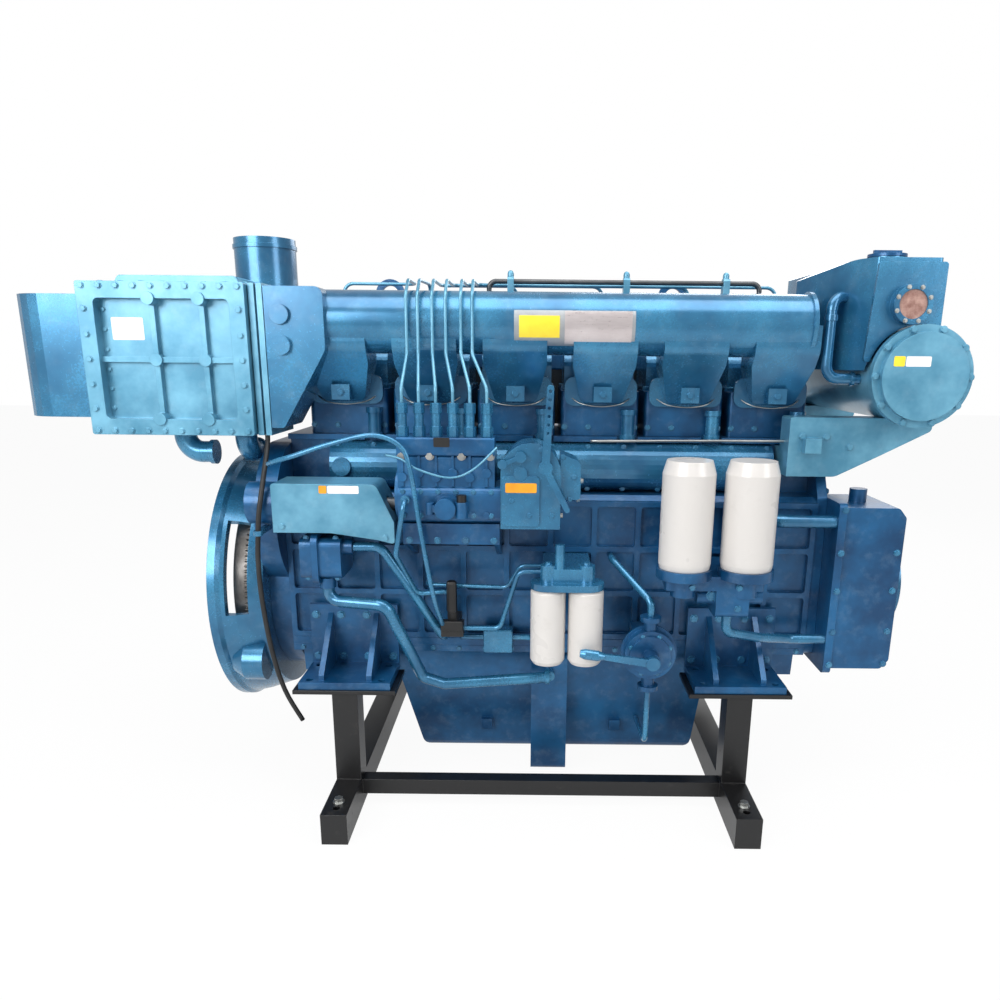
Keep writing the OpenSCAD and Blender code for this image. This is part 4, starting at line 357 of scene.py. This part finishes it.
def smoothRoute(points, steps):  # a curve through every point
    last = len(points) - 1
    path = []
    for i in range(last):
        a, b, c, d = (points[k] for k in (max(i - 1, 0), i, i + 1, min(i + 2, last)))
        for s in range(steps):
            t = s / steps
            path.append(0.5 * (2 * b + (c - a) * t + (2 * a - 5 * b + 4 * c - d) * t * t
                               + (3 * b - 3 * c + d - a) * t ** 3))
    return path + [points[-1]]


def addMesh(name, verts, faces, finish, smooth=True):
    mesh = bpy.data.meshes.new(name)
    mesh.from_pydata([tuple(v) for v in verts], [], faces)
    mesh.update()
    mesh.materials.append(finishes[finish])
    piece = bpy.data.objects.new(name, mesh)
    scene.collection.objects.link(piece)
    if smooth:
        mesh.shade_smooth()
    return piece


def tubeMesh(name, path, radius, finish, sides, wall=0.0):
    rings = []
    side = None
    for i, point in enumerate(path):
        along = (path[min(i + 1, len(path) - 1)] - path[max(i - 1, 0)]).normalized()
        if side is None:
            side = along.orthogonal().normalized()
        side = (side - along * side.dot(along)).normalized()
        up = along.cross(side)
        turns = [q * math.tau / sides for q in range(sides)]
        rings.append([side * math.cos(turn) + up * math.sin(turn) for turn in turns])
    verts = [p + v * radius for p, ring in zip(path, rings) for v in ring]
    faces = []
    for i in range(len(path) - 1):
        low, high = i * sides, (i + 1) * sides
        for q in range(sides):
            n = (q + 1) % sides
            faces.append([low + q, low + n, high + n, high + q])
    lastRing = (len(path) - 1) * sides
    if not wall:
        faces += [list(range(sides))[::-1], [lastRing + q for q in range(sides)]]
        return addMesh(name, verts, faces, finish)
    for end, inner, outer, way in ((0, 1, 0, -1), (-1, -2, lastRing, 1)):  # a mouth at each end
        mouth = [path[end] + v * (radius - wall) for v in rings[end]]
        inward = (path[inner] - path[end]).normalized()
        base = len(verts)
        verts += mouth + [p + inward * hoseLook["mouthDepth"] for p in mouth]
        floor = base + sides
        for q in range(sides):
            n = (q + 1) % sides
            faces += [[outer + q, outer + n, base + n, base + q][::way],
                      [base + q, base + n, floor + n, floor + q][::way]]
        faces.append([floor + q for q in range(sides)][::way])
    return addMesh(name, verts, faces, finish)


route = [Vector(p) * millimetre for p in hoseRoute]
hosePath = smoothRoute(route, hoseLook["stepsBetweenPoints"])
hoseLength = sum((b - a).length for a, b in zip(hosePath, hosePath[1:]))
hose = tubeMesh("drainHose", hosePath, hoseLook["radius"], "hoseRubber", hoseLook["sides"], hoseLook["wall"])
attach(hose, "engine")
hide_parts("drain_hose")
print("hose length", round(hoseLength, 3))


# bolts: hexagon heads on washers, set on points by one node tree
boltShape = {"Head radius": 1.0, "Head height": 0.75, "Washer radius": 1.28, "Washer height": 0.18}
nutShape = {**boltShape, "Head height": 1.1, "Washer radius": 1.35}
boltMake = {"headSides": 6, "washerSides": 14, "mostTurn": 60, "seed": 7}


def makeBoltTree():
    tree = bpy.data.node_groups.new("boltHeads", "GeometryNodeTree")
    face = tree.interface
    face.new_socket("Geometry", in_out="INPUT", socket_type="NodeSocketGeometry")
    sizes = {}
    for label, value in boltShape.items():
        socket = face.new_socket(label, in_out="INPUT", socket_type="NodeSocketFloat")
        socket.default_value = value
        sizes[label] = socket.identifier
    material = face.new_socket("Finish", in_out="INPUT", socket_type="NodeSocketMaterial")
    sizes["Finish"] = material.identifier
    face.new_socket("Geometry", in_out="OUTPUT", socket_type="NodeSocketGeometry")
    nodes, links = tree.nodes, tree.links
    start, end = nodes.new("NodeGroupInput"), nodes.new("NodeGroupOutput")

    def put(kind, settings, **values):
        node = nodes.new(kind)
        for key, value in settings.items():
            setattr(node, key, value)
        for key, value in values.items():
            socket = node.inputs[key.replace("_", " ")]
            if hasattr(value, "is_output"):
                links.new(value, socket)
            else:
                socket.default_value = value
        return node

    def lift(source, height):
        half = put("ShaderNodeMath", {"operation": "MULTIPLY"})
        links.new(height, half.inputs[0])
        half.inputs[1].default_value = 0.5
        offset = put("ShaderNodeCombineXYZ", {}, Z=half.outputs[0])
        return put("GeometryNodeTransform", {}, Geometry=source, Translation=offset.outputs[0])

    head = put("GeometryNodeMeshCylinder", {}, Vertices=boltMake["headSides"],
               Radius=start.outputs["Head radius"], Depth=start.outputs["Head height"])
    washer = put("GeometryNodeMeshCylinder", {}, Vertices=boltMake["washerSides"],
                 Radius=start.outputs["Washer radius"], Depth=start.outputs["Washer height"])
    join = nodes.new("GeometryNodeJoinGeometry")
    links.new(lift(head.outputs["Mesh"], start.outputs["Head height"]).outputs[0], join.inputs[0])
    links.new(lift(washer.outputs["Mesh"], start.outputs["Washer height"]).outputs[0], join.inputs[0])
    facing = put("GeometryNodeInputNamedAttribute", {"data_type": "FLOAT_VECTOR"}, Name="facing")
    size = put("GeometryNodeInputNamedAttribute", {"data_type": "FLOAT"}, Name="size")
    align = put("FunctionNodeAlignRotationToVector", {"axis": "Z"}, Vector=facing.outputs[0])
    twist = put("FunctionNodeRandomValue", {"data_type": "FLOAT"}, Seed=boltMake["seed"])
    twist.inputs[2].default_value, twist.inputs[3].default_value = 0.0, math.radians(boltMake["mostTurn"])
    spin = put("FunctionNodeEulerToRotation", {})
    euler = put("ShaderNodeCombineXYZ", {}, Z=twist.outputs[1])
    links.new(euler.outputs[0], spin.inputs[0])
    turn = put("FunctionNodeRotateRotation", {"rotation_space": "LOCAL"}, Rotation=align.outputs[0])
    links.new(spin.outputs[0], turn.inputs[1])
    placed = put("GeometryNodeInstanceOnPoints", {}, Points=start.outputs["Geometry"],
                 Instance=join.outputs[0], Rotation=turn.outputs[0], Scale=size.outputs[0])
    real = put("GeometryNodeRealizeInstances", {}, Geometry=placed.outputs[0])
    paint = put("GeometryNodeSetMaterial", {}, Geometry=real.outputs[0], Material=start.outputs["Finish"])
    links.new(paint.outputs[0], end.inputs[0])
    return tree, sizes


boltTree, boltSockets = makeBoltTree()


def lineOf(start, end, count):
    a, b = Vector(start), Vector(end)
    return [a + (b - a) * (k / max(count - 1, 1)) for k in range(count)]


def ringOf(centre, radius, count, axis, first=0.0):  # round a level axis, counted from the top
    one = Vector((0, 0, 1))
    other = Vector(axis).cross(one)
    turns = [math.radians(first) + k * math.tau / count for k in range(count)]
    return [Vector(centre) + radius * (one * math.cos(t) + other * math.sin(t)) for t in turns]


# a seat is where a ray from outside meets the piece; lengths in metres
seatRay = {"start": 0.2, "reach": 0.5}
shells = {}


def seatOn(node, place, facing):
    if node not in shells:
        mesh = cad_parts[node].data
        faces = [list(face.vertices) for face in mesh.polygons]
        shells[node] = BVHTree.FromPolygons([v.co for v in mesh.vertices], faces)
    way = Vector(facing)
    start = Vector(place) * millimetre + way * seatRay["start"]
    return shells[node].ray_cast(start, -way, seatRay["reach"])[0]


def setBolts(name, body, finish, rows, shape=boltShape):
    points, facing, size, missed = [], [], [], 0
    for node, direction, radius, places in rows:
        for place in places:
            seat = seatOn(node, place, direction)
            if seat is None:
                missed += 1
                continue
            points.append(seat)
            facing.append(Vector(direction))
            size.append(radius * millimetre)
    mesh = bpy.data.meshes.new(name)
    mesh.from_pydata([tuple(p) for p in points], [], [])
    mesh.attributes.new("facing", "FLOAT_VECTOR", "POINT")
    mesh.attributes.new("size", "FLOAT", "POINT")
    for k, (way, radius) in enumerate(zip(facing, size)):  # by name: adding one makes the other stale
        mesh.attributes["facing"].data[k].vector = way
        mesh.attributes["size"].data[k].value = radius
    seed = bpy.data.objects.new(name + "Points", mesh)
    scene.collection.objects.link(seed)
    modifier = seed.modifiers.new("bolts", "NODES")
    modifier.node_group = boltTree
    for label, value in shape.items():
        modifier[boltSockets[label]] = value
    modifier[boltSockets["Finish"]] = finishes[finish]
    ready = seed.evaluated_get(bpy.context.evaluated_depsgraph_get())
    solid = bpy.data.meshes.new_from_object(ready)
    seed.modifiers.remove(modifier)
    bpy.data.objects.remove(seed)
    solid.name = name
    piece = bpy.data.objects.new(name, solid)
    scene.collection.objects.link(piece)
    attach(piece, body)
    print(name, len(points), "set,", missed, "without a seat")


# places in millimetres, as the construction has them
cylinderX = [342 + 220 * k for k in range(6)]
footX = (357, 1359)
towardsPump, towardsExhaust, upwards = (0, -1, 0), (0, 1, 0), (0, 0, 1)
towardsFlywheel, towardsPulley = (-1, 0, 0), (1, 0, 0)


def bothSides(places):
    return [(x, -y, z) for x, y, z in places]


footBolts = [(x + dx, -270, z) for x in footX for dx in (-100, -34, 34, 100) for z in (-36, -152)]
panBolts = lineOf((212, -268, -134), (1545, -268, -134), 20)
coverBolts = (lineOf((-226, -345, 782), (137, -345, 782), 10)
              + lineOf((-226, -345, 448), (137, -345, 448), 10)
              + lineOf((-226, -345, 500), (-226, -345, 730), 5)
              + lineOf((137, -345, 500), (137, -345, 730), 5))
# rows of bolts: the piece, the way they face, their radius and their places;
# the governor's ring leaves out the one that its label would lie on
blueRows = [
    ("intercooler_cover", towardsPump, 6.5, coverBolts),
    ("intercooler_cover", towardsPump, 5.0, lineOf((-194, -320, 500), (-194, -320, 730), 6)),
    ("charge_air_duct", towardsFlywheel, 5.0, lineOf((-250, -298, 485), (-250, -298, 755), 6)),
    ("charge_air_duct", towardsFlywheel, 5.0, lineOf((-250, -118, 485), (-250, -118, 755), 6)),
    ("intercooler_housing", towardsPulley, 6.5, lineOf((180, -314, 470), (180, -314, 760), 7)),
    ("intercooler_housing", towardsPulley, 6.5, lineOf((180, -160, 470), (180, -160, 760), 7)),
    ("intercooler_housing", upwards, 6.0, lineOf((-205, -296, 800), (140, -296, 800), 8)),
    ("intercooler_housing", upwards, 6.0, lineOf((-205, -158, 800), (140, -158, 800), 8)),
    ("heat_exchanger", towardsPump, 7.5, ringOf((1736, -384, 595), 111, 10, towardsPump, 18)),
    ("heat_exchanger", towardsExhaust, 7.5, ringOf((1736, 328, 595), 111, 10, towardsExhaust, 18)),
    ("cam_chest", towardsPump, 6.0, lineOf((318, -242, 404), (1438, -242, 404), 13)),
    ("cam_chest", towardsPump, 6.0, lineOf((318, -242, 296), (1438, -242, 296), 13)),
    ("oil_pan", towardsPump, 6.0, panBolts),
    ("oil_pan", towardsExhaust, 6.0, bothSides(panBolts)),
    ("engine_feet", towardsPump, 9.0, footBolts),
    ("engine_feet", towardsExhaust, 9.0, bothSides(footBolts)),
    ("rocker_covers", upwards, 9.0, [(x, 8, 640) for x in cylinderX]),
    ("intake_manifold", towardsPump, 8.0, [(x, -250, 540) for x in cylinderX]),
    ("cylinder_heads", towardsPump, 6.5, [(x + dx, -165, 452) for x in cylinderX for dx in (-92, -30, 92)]),
    ("cylinder_heads", towardsExhaust, 6.5, [(x + dx, 165, 460) for x in cylinderX for dx in (-85, 0, 85)]),
    ("oil_filter_base", towardsPump, 7.0, [(1210, -500, 104), (1324, -500, 50), (1324, -500, 104)]),
    ("oil_filter_base", towardsPump, 12.0, [(1267, -500, 76)]),
    ("wing_pump", towardsPump, 5.0, ringOf((1125, -470, -86), 52, 8, towardsPump, 22)),
    ("injection_pump", towardsPump, 5.5, lineOf((520, -425, 262), (730, -425, 262), 6)),
    ("injection_pump", towardsPump, 5.5, lineOf((520, -425, 318), (730, -425, 318), 6)),
    ("pump_bracket", towardsPump, 7.0, lineOf((532, -420, 200), (736, -420, 200), 4)),
    ("governor", towardsPump, 5.5, ringOf((848, -430, 341), 80, 9, towardsPump, 120)[:8]),
    ("coupling_guard", towardsPump, 7.0, [(472, -408, 202), (222, -408, 228)]),
    ("thermostat_housing", towardsPump, 8.0, [(1500, -320, 445), (1560, -320, 445), (1620, -320, 420)]),
    ("thermostat_housing", towardsExhaust, 8.0, [(1500, 290, 445), (1560, 290, 445), (1620, 290, 420)]),
    ("oil_cooler", towardsPump, 7.0, [(1606, -347, z) for z in (-140, -50, 60, 160, 270)]),
    ("oil_cooler", towardsPump, 7.0, [(1752, -347, z) for z in (-140, -50, 60, 160)]),
    ("front_cover", towardsPulley, 7.0,
     [(1600, y, z) for y in (-240, 240) for z in (-100, -20, 60, 140, 220, 300)]),
    ("front_cover", towardsPulley, 7.0, [(1600, y, 402) for y in (-150, -75, 0, 75, 150)]),
    ("lube_oil_pump", towardsPump, 6.0, [(x, -400, z) for x in (271, 344) for z in (93, 193)]),
    ("exhaust_outlet", towardsPulley, 6.0, ringOf((50, 20, 600), 72, 8, towardsPulley, 22)),
    ("starter_motor", towardsPulley, 4.5, ringOf((392, 326, 62), 34, 4, towardsPulley, 45)),
    ("fuel_filter_head", upwards, 9.0, [(869, -428, 190), (962, -428, 190)]),
]
brightRows = [
    ("cylinder_heads", towardsPump, 9.0, [(x + dx, -165, 532) for x in cylinderX for dx in (-78, 78)]),
    ("exhaust_manifold", towardsExhaust, 8.0, [(x + dx, 200, 520) for x in cylinderX for dx in (-54, 54)]),
    ("stand", upwards, 11.0, [(x, y, -470) for x in footX for y in (-540, 540)]),
    ("governor", towardsPulley, 6.0,
     [(943, y, z) for y, z in ((-400, 300), (-360, 300), (-400, 345), (-400, 260))]),
    ("compressor_housing", towardsFlywheel, 5.0, ringOf((-300, 20, 600), 84, 8, towardsFlywheel, 10)),
    ("turbine_housing", towardsFlywheel, 5.5, ringOf((-95, 20, 600), 88, 8, towardsFlywheel, 10)),
    ("raw_water_pump", towardsPulley, 6.0, ringOf((1690, 168, 60), 44, 6, towardsPulley, 30)),
    ("injection_pump", towardsPump, 8.0, [(x, -425, 403) for x in (518, 585, 660, 728)]),
    ("expansion_tank", towardsPump, 4.0, ringOf((1700, -366, 757), 40, 8, towardsPump, 22)),
]
# bolts on the pale pieces take the pale paint too: painted highlight
paintedHighlightRows = [row for row in blueRows if nodeFinish.get(row[0]) == "paintedHighlightPaint"]
deepRows = [row for row in blueRows if row not in paintedHighlightRows]
setBolts("paintedBolts", "engine", "smoothPaint", deepRows)
setBolts("paleBolts", "engine", "paintedHighlightPaint", paintedHighlightRows)
setBolts("brightNuts", "engine", "zincSteel", brightRows, nutShape)
setBolts("flywheelBolts", "crank", "darkSteel",
         [("flywheel", towardsFlywheel, 12.0, ringOf((60, 0, 0), 78, 8, towardsFlywheel))])

# bare plates: thin sheets with round corners and a turned-down edge, laid on what carries them
plateMake = {"fromY": -330, "corner": 3.0, "cornerTurns": (0, 30, 60, 90), "thick": 0.4, "lift": 0.05,
             "rim": 0.6, "inset": 0.5}


def addPlate(name, finish, low, high, node):
    middle = ((low[0] + high[0]) / 2, plateMake["fromY"], (low[1] + high[1]) / 2)
    seat = seatOn(node, middle, towardsPump)
    y = (plateMake["fromY"] if seat is None else seat.y / millimetre) - plateMake["lift"]
    corner, thick = plateMake["corner"], plateMake["thick"]
    rings = []
    for inset, lift in ((0.0, 0.0), (0.0, thick * plateMake["rim"]), (thick * plateMake["inset"], thick)):
        loop = []
        for sx, sz, start in ((1, 1, 0), (-1, 1, 90), (-1, -1, 180), (1, -1, 270)):
            px = (high[0] if sx > 0 else low[0]) - sx * corner
            pz = (high[1] if sz > 0 else low[1]) - sz * corner
            for step in plateMake["cornerTurns"]:
                turn = math.radians(start + step)
                reach = corner - inset
                loop.append((px + reach * math.cos(turn), y - lift, pz + reach * math.sin(turn)))
        rings.append(loop)
    n = len(rings[0])
    verts = [Vector(p) * millimetre for loop in rings for p in loop]
    faces = [[i * n + q, i * n + (q + 1) % n, (i + 1) * n + (q + 1) % n, (i + 1) * n + q]
             for i in range(len(rings) - 1) for q in range(n)]
    faces += [list(range(n))[::-1], [(len(rings) - 1) * n + q for q in range(n)]]
    piece = addMesh(name, verts, faces, finish, smooth=False)
    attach(piece, "engine")


# plates bent round the intake manifold's tube
tubeLook = {"centre": (-240, 710), "radius": 75.0, "steps": 14}


def addWrap(name, finish, alongX, upZ, lift, thick):
    (centreY, centreZ), radius, steps = tubeLook["centre"], tubeLook["radius"] + lift, tubeLook["steps"]
    low, high = (math.asin((z - centreZ) / radius) for z in upZ)
    verts, faces = [], []
    for x in alongX:
        for k in range(steps + 1):
            turn = low + (high - low) * k / steps
            for r in (radius, radius + thick):
                place = Vector((x, centreY - r * math.cos(turn), centreZ + r * math.sin(turn)))
                verts.append(place * millimetre)
    row = 2 * (steps + 1)
    for k in range(steps):
        a, b, c, d = 2 * k, 2 * k + 1, 2 * k + 3, 2 * k + 2
        faces += [[a, b, c, d], [row + d, row + c, row + b, row + a],
                  [b, row + b, row + c, c], [a, d, row + d, row + a]]
    faces += [[0, row, row + 1, 1], [2 * steps, 2 * steps + 1, row + 2 * steps + 1, row + 2 * steps]]
    piece = addMesh(name, verts, faces, finish, smooth=False)
    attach(piece, "engine")


addWrap("manifoldStrip", "castAluminium", (780, 1070), (658, 738), 0.2, 1.0)
addWrap("manifoldNameplate", "plateSilver", (901, 1062), (661, 737), 1.4, 0.8)
addWrap("manifoldCaution", "plateYellow", (792, 889), (676, 726), 1.4, 0.8)
plateList = [
    ("coverPlate", "plateWhite", (-178, 660), (-102, 712), "intercooler_cover"),
    ("guardLabelPale", "plateWhite", (337, 309), (412, 328), "coupling_guard"),
    ("guardLabelOrange", "plateOrange", (316, 309), (335, 328), "coupling_guard"),
    ("governorLabel", "plateOrange", (764, 320), (838, 343), "governor"),
    ("exchangerLabel", "plateYellow", (1658, 618), (1684, 641), "heat_exchanger"),
    ("exchangerStrip", "plateWhite", (1686, 618), (1744, 641), "heat_exchanger"),
    ("pumpPlate", "knobBlack", (595, 424), (633, 446), "injection_pump"),
]
for name, finish, low, high, node in plateList:
    addPlate(name, finish, low, high, node)
print("plates laid")

# small pipes, rods and cables: points and radius in millimetres
runSides = 10


def addRun(name, finish, points, radius, steps=6):
    path = smoothRoute([Vector(p) * millimetre for p in points], steps)
    piece = tubeMesh(name, path, radius * millimetre, finish, runSides)
    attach(piece, "engine")


addRun("bleedRod", "zincSteel",
       [(974, -247, 424), (1150, -247, 426), (1330, -247, 428), (1511, -247, 429)], 3.5)
# the cable takes the pale paint: painted highlight
addRun("controlCable", "paintedHighlightPaint",
       [(482, -425, 405), (520, -438, 398), (560, -446, 375), (635, -448, 356), (690, -446, 376),
        (745, -438, 427)], 2.6)
wireSag = ((-78, -176, 530), (-50, -196, 514), (0, -204, 508), (50, -196, 514), (78, -176, 530))
for k, x in enumerate(cylinderX):
    points = [(x + dx, y, z) for dx, y, z in wireSag]
    addRun("branchWire" + str(k), "zincSteel", points, 1.6, steps=4)
addRun("bleedTube", "smoothPaint",
       [(194, -392, 376), (225, -420, 388), (270, -436, 402), (360, -446, 432), (456, -450, 453),
        (520, -450, 430), (543, -450, 374), (563, -448, 231), (588, -438, 70), (602, -404, -8),
        (606, -386, -28)], 6.0)
addRun("sensorRail", "smoothPaint",
       [(640, -292, -92), (700, -292, -92), (782, -292, -92), (826, -292, -92)], 8)
print("runs laid")

# cast blocks and strips with round edges: opposite corners and edge radius in millimetres
roundOff = {"segments": 2, "profile": 0.5}


def addBlock(name, finish, low, high, edge):
    shape = bmesh.new()
    bmesh.ops.create_cube(shape, size=1.0)
    for v in shape.verts:
        v.co = Vector([(low[i] if v.co[i] < 0 else high[i]) * millimetre for i in range(3)])
    bmesh.ops.bevel(shape, geom=shape.edges[:], offset=edge * millimetre, affect="EDGES", **roundOff)
    mesh = bpy.data.meshes.new(name)
    shape.to_mesh(mesh)
    shape.free()
    mesh.materials.append(finishes[finish])
    piece = bpy.data.objects.new(name, mesh)
    scene.collection.objects.link(piece)
    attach(piece, "engine")


addBlock("sensorBlock", "smoothPaint", (702, -316, -129), (779, -270.6, -65), 4.0)
addBlock("valveHandle", "knobBlack", (616, -404, 8), (642, -381, 92), 8.0)
addBlock("valveStem", "knobBlack", (600, -398, -40), (656, -390.5, -14), 3.0)
addBlock("exhaustShield", "darkSteel", (243, 150, 434), (1541, 157, 596), 2.0)
# the rail takes the darker cast paint: painted shade
addBlock("coverRail", "castPaintWithPaintedShade", (243, 118, 594), (1541, 136, 639), 5.0)
addBlock("bleedSensor", "smoothPaint", (1530, -268, 415), (1566, -232, 447), 5.0)
print("blocks made")

# floor, light and world; each lamp has its place, target, width, depth in metres and power in watts
stageLook = {"floorSize": 30.0, "floorWhite": 0.95, "floorShades": ((0.90, 0.90, 0.90), (0.94, 0.94, 0.94)),
             "floorCloud": 1.2, "floorRough": 0.85, "glossyShare": 0.5, "worldStrength": 0.26,
             "worldTint": (0.94, 0.97, 1.0),
             "lamps": [("key", (-1.7, -3.5, 1.9), (0.5, -0.2, 0.5), 2.6, 2.2, 150.0),
                       ("overhead", (0.9, -1.0, 3.3), (0.8, 0, 0.3), 4.0, 2.2, 112.0),
                       ("right", (3.6, -2.4, 1.7), (1.4, 0, 0.4), 1.4, 2.0, 42.0),
                       ("behind", (2.4, 3.2, 2.2), (0.9, 0, 0.3), 2.6, 1.8, 60.0)]}
# the rays that see a white room: what the camera, gloss and clear pieces look at
whiteRays = ("Is Camera Ray", "Is Glossy Ray", "Is Transmission Ray")


def makeFloor():
    half = stageLook["floorSize"] / 2
    low = cadBox[0][2]
    floor = addMesh("floor", [(-half, -half, low), (half, -half, low), (half, half, low), (-half, half, low)],
                    [[0, 1, 2, 3]], "plateWhite", smooth=False)
    mix = Recipe("floorPaint")
    mix.finish(Base_Color=mix.shades(mix.noise(stageLook["floorCloud"]), *stageLook["floorShades"]),
               Roughness=stageLook["floorRough"])
    camera, glossy, through = (mix.add("ShaderNodeLightPath", out=ray) for ray in whiteRays)
    seen = camera.larger(glossy * stageLook["glossyShare"]).larger(through) * stageLook["floorWhite"]
    white = mix.add("ShaderNodeEmission", None, {"Color": (1.0, 1.0, 1.0), "Strength": 1.0})
    both = mix.add("ShaderNodeMixShader", None, {0: seen, 1: Wire(mix, mix.shader.outputs[0]), 2: white})
    mix.feed(mix.tree.nodes["Material Output"].inputs["Surface"], both)
    floor.data.materials[0] = mix.material


def makeLights():
    for name, place, target, width, depth, power in stageLook["lamps"]:
        data = bpy.data.lights.new(name, "AREA")
        data.shape, data.size, data.size_y, data.energy = "RECTANGLE", width, depth, power
        lamp = bpy.data.objects.new(name, data)
        scene.collection.objects.link(lamp)
        away = Vector(place) - Vector(target)
        lamp.matrix_world = Matrix.Translation(place) @ away.to_track_quat("Z", "Y").to_matrix().to_4x4()


def makeWorld():
    world = bpy.data.worlds.new("softRoom")
    scene.world = world
    world.use_nodes = True
    nodes, links = world.node_tree.nodes, world.node_tree.links
    lit, seen = nodes["Background"], nodes.new("ShaderNodeBackground")
    lit.inputs["Color"].default_value = (*stageLook["worldTint"], 1.0)
    lit.inputs["Strength"].default_value = stageLook["worldStrength"]
    seen.inputs["Color"].default_value = (1.0, 1.0, 1.0, 1.0)
    path, mixer = nodes.new("ShaderNodeLightPath"), nodes.new("ShaderNodeMixShader")
    shine, seenWhite = nodes.new("ShaderNodeMath"), nodes.new("ShaderNodeMath")
    shine.operation, shine.inputs[1].default_value = "MULTIPLY_ADD", stageLook["glossyShare"]
    seenWhite.operation = "MAXIMUM"
    links.new(path.outputs["Is Glossy Ray"], shine.inputs[0])
    links.new(path.outputs["Is Camera Ray"], shine.inputs[2])
    links.new(shine.outputs[0], seenWhite.inputs[0])
    links.new(path.outputs["Is Transmission Ray"], seenWhite.inputs[1])
    links.new(seenWhite.outputs[0], mixer.inputs[0])
    links.new(lit.outputs[0], mixer.inputs[1])
    links.new(seen.outputs[0], mixer.inputs[2])
    links.new(mixer.outputs[0], nodes["World Output"].inputs["Surface"])


makeFloor()
makeLights()
makeWorld()
print("stage set")
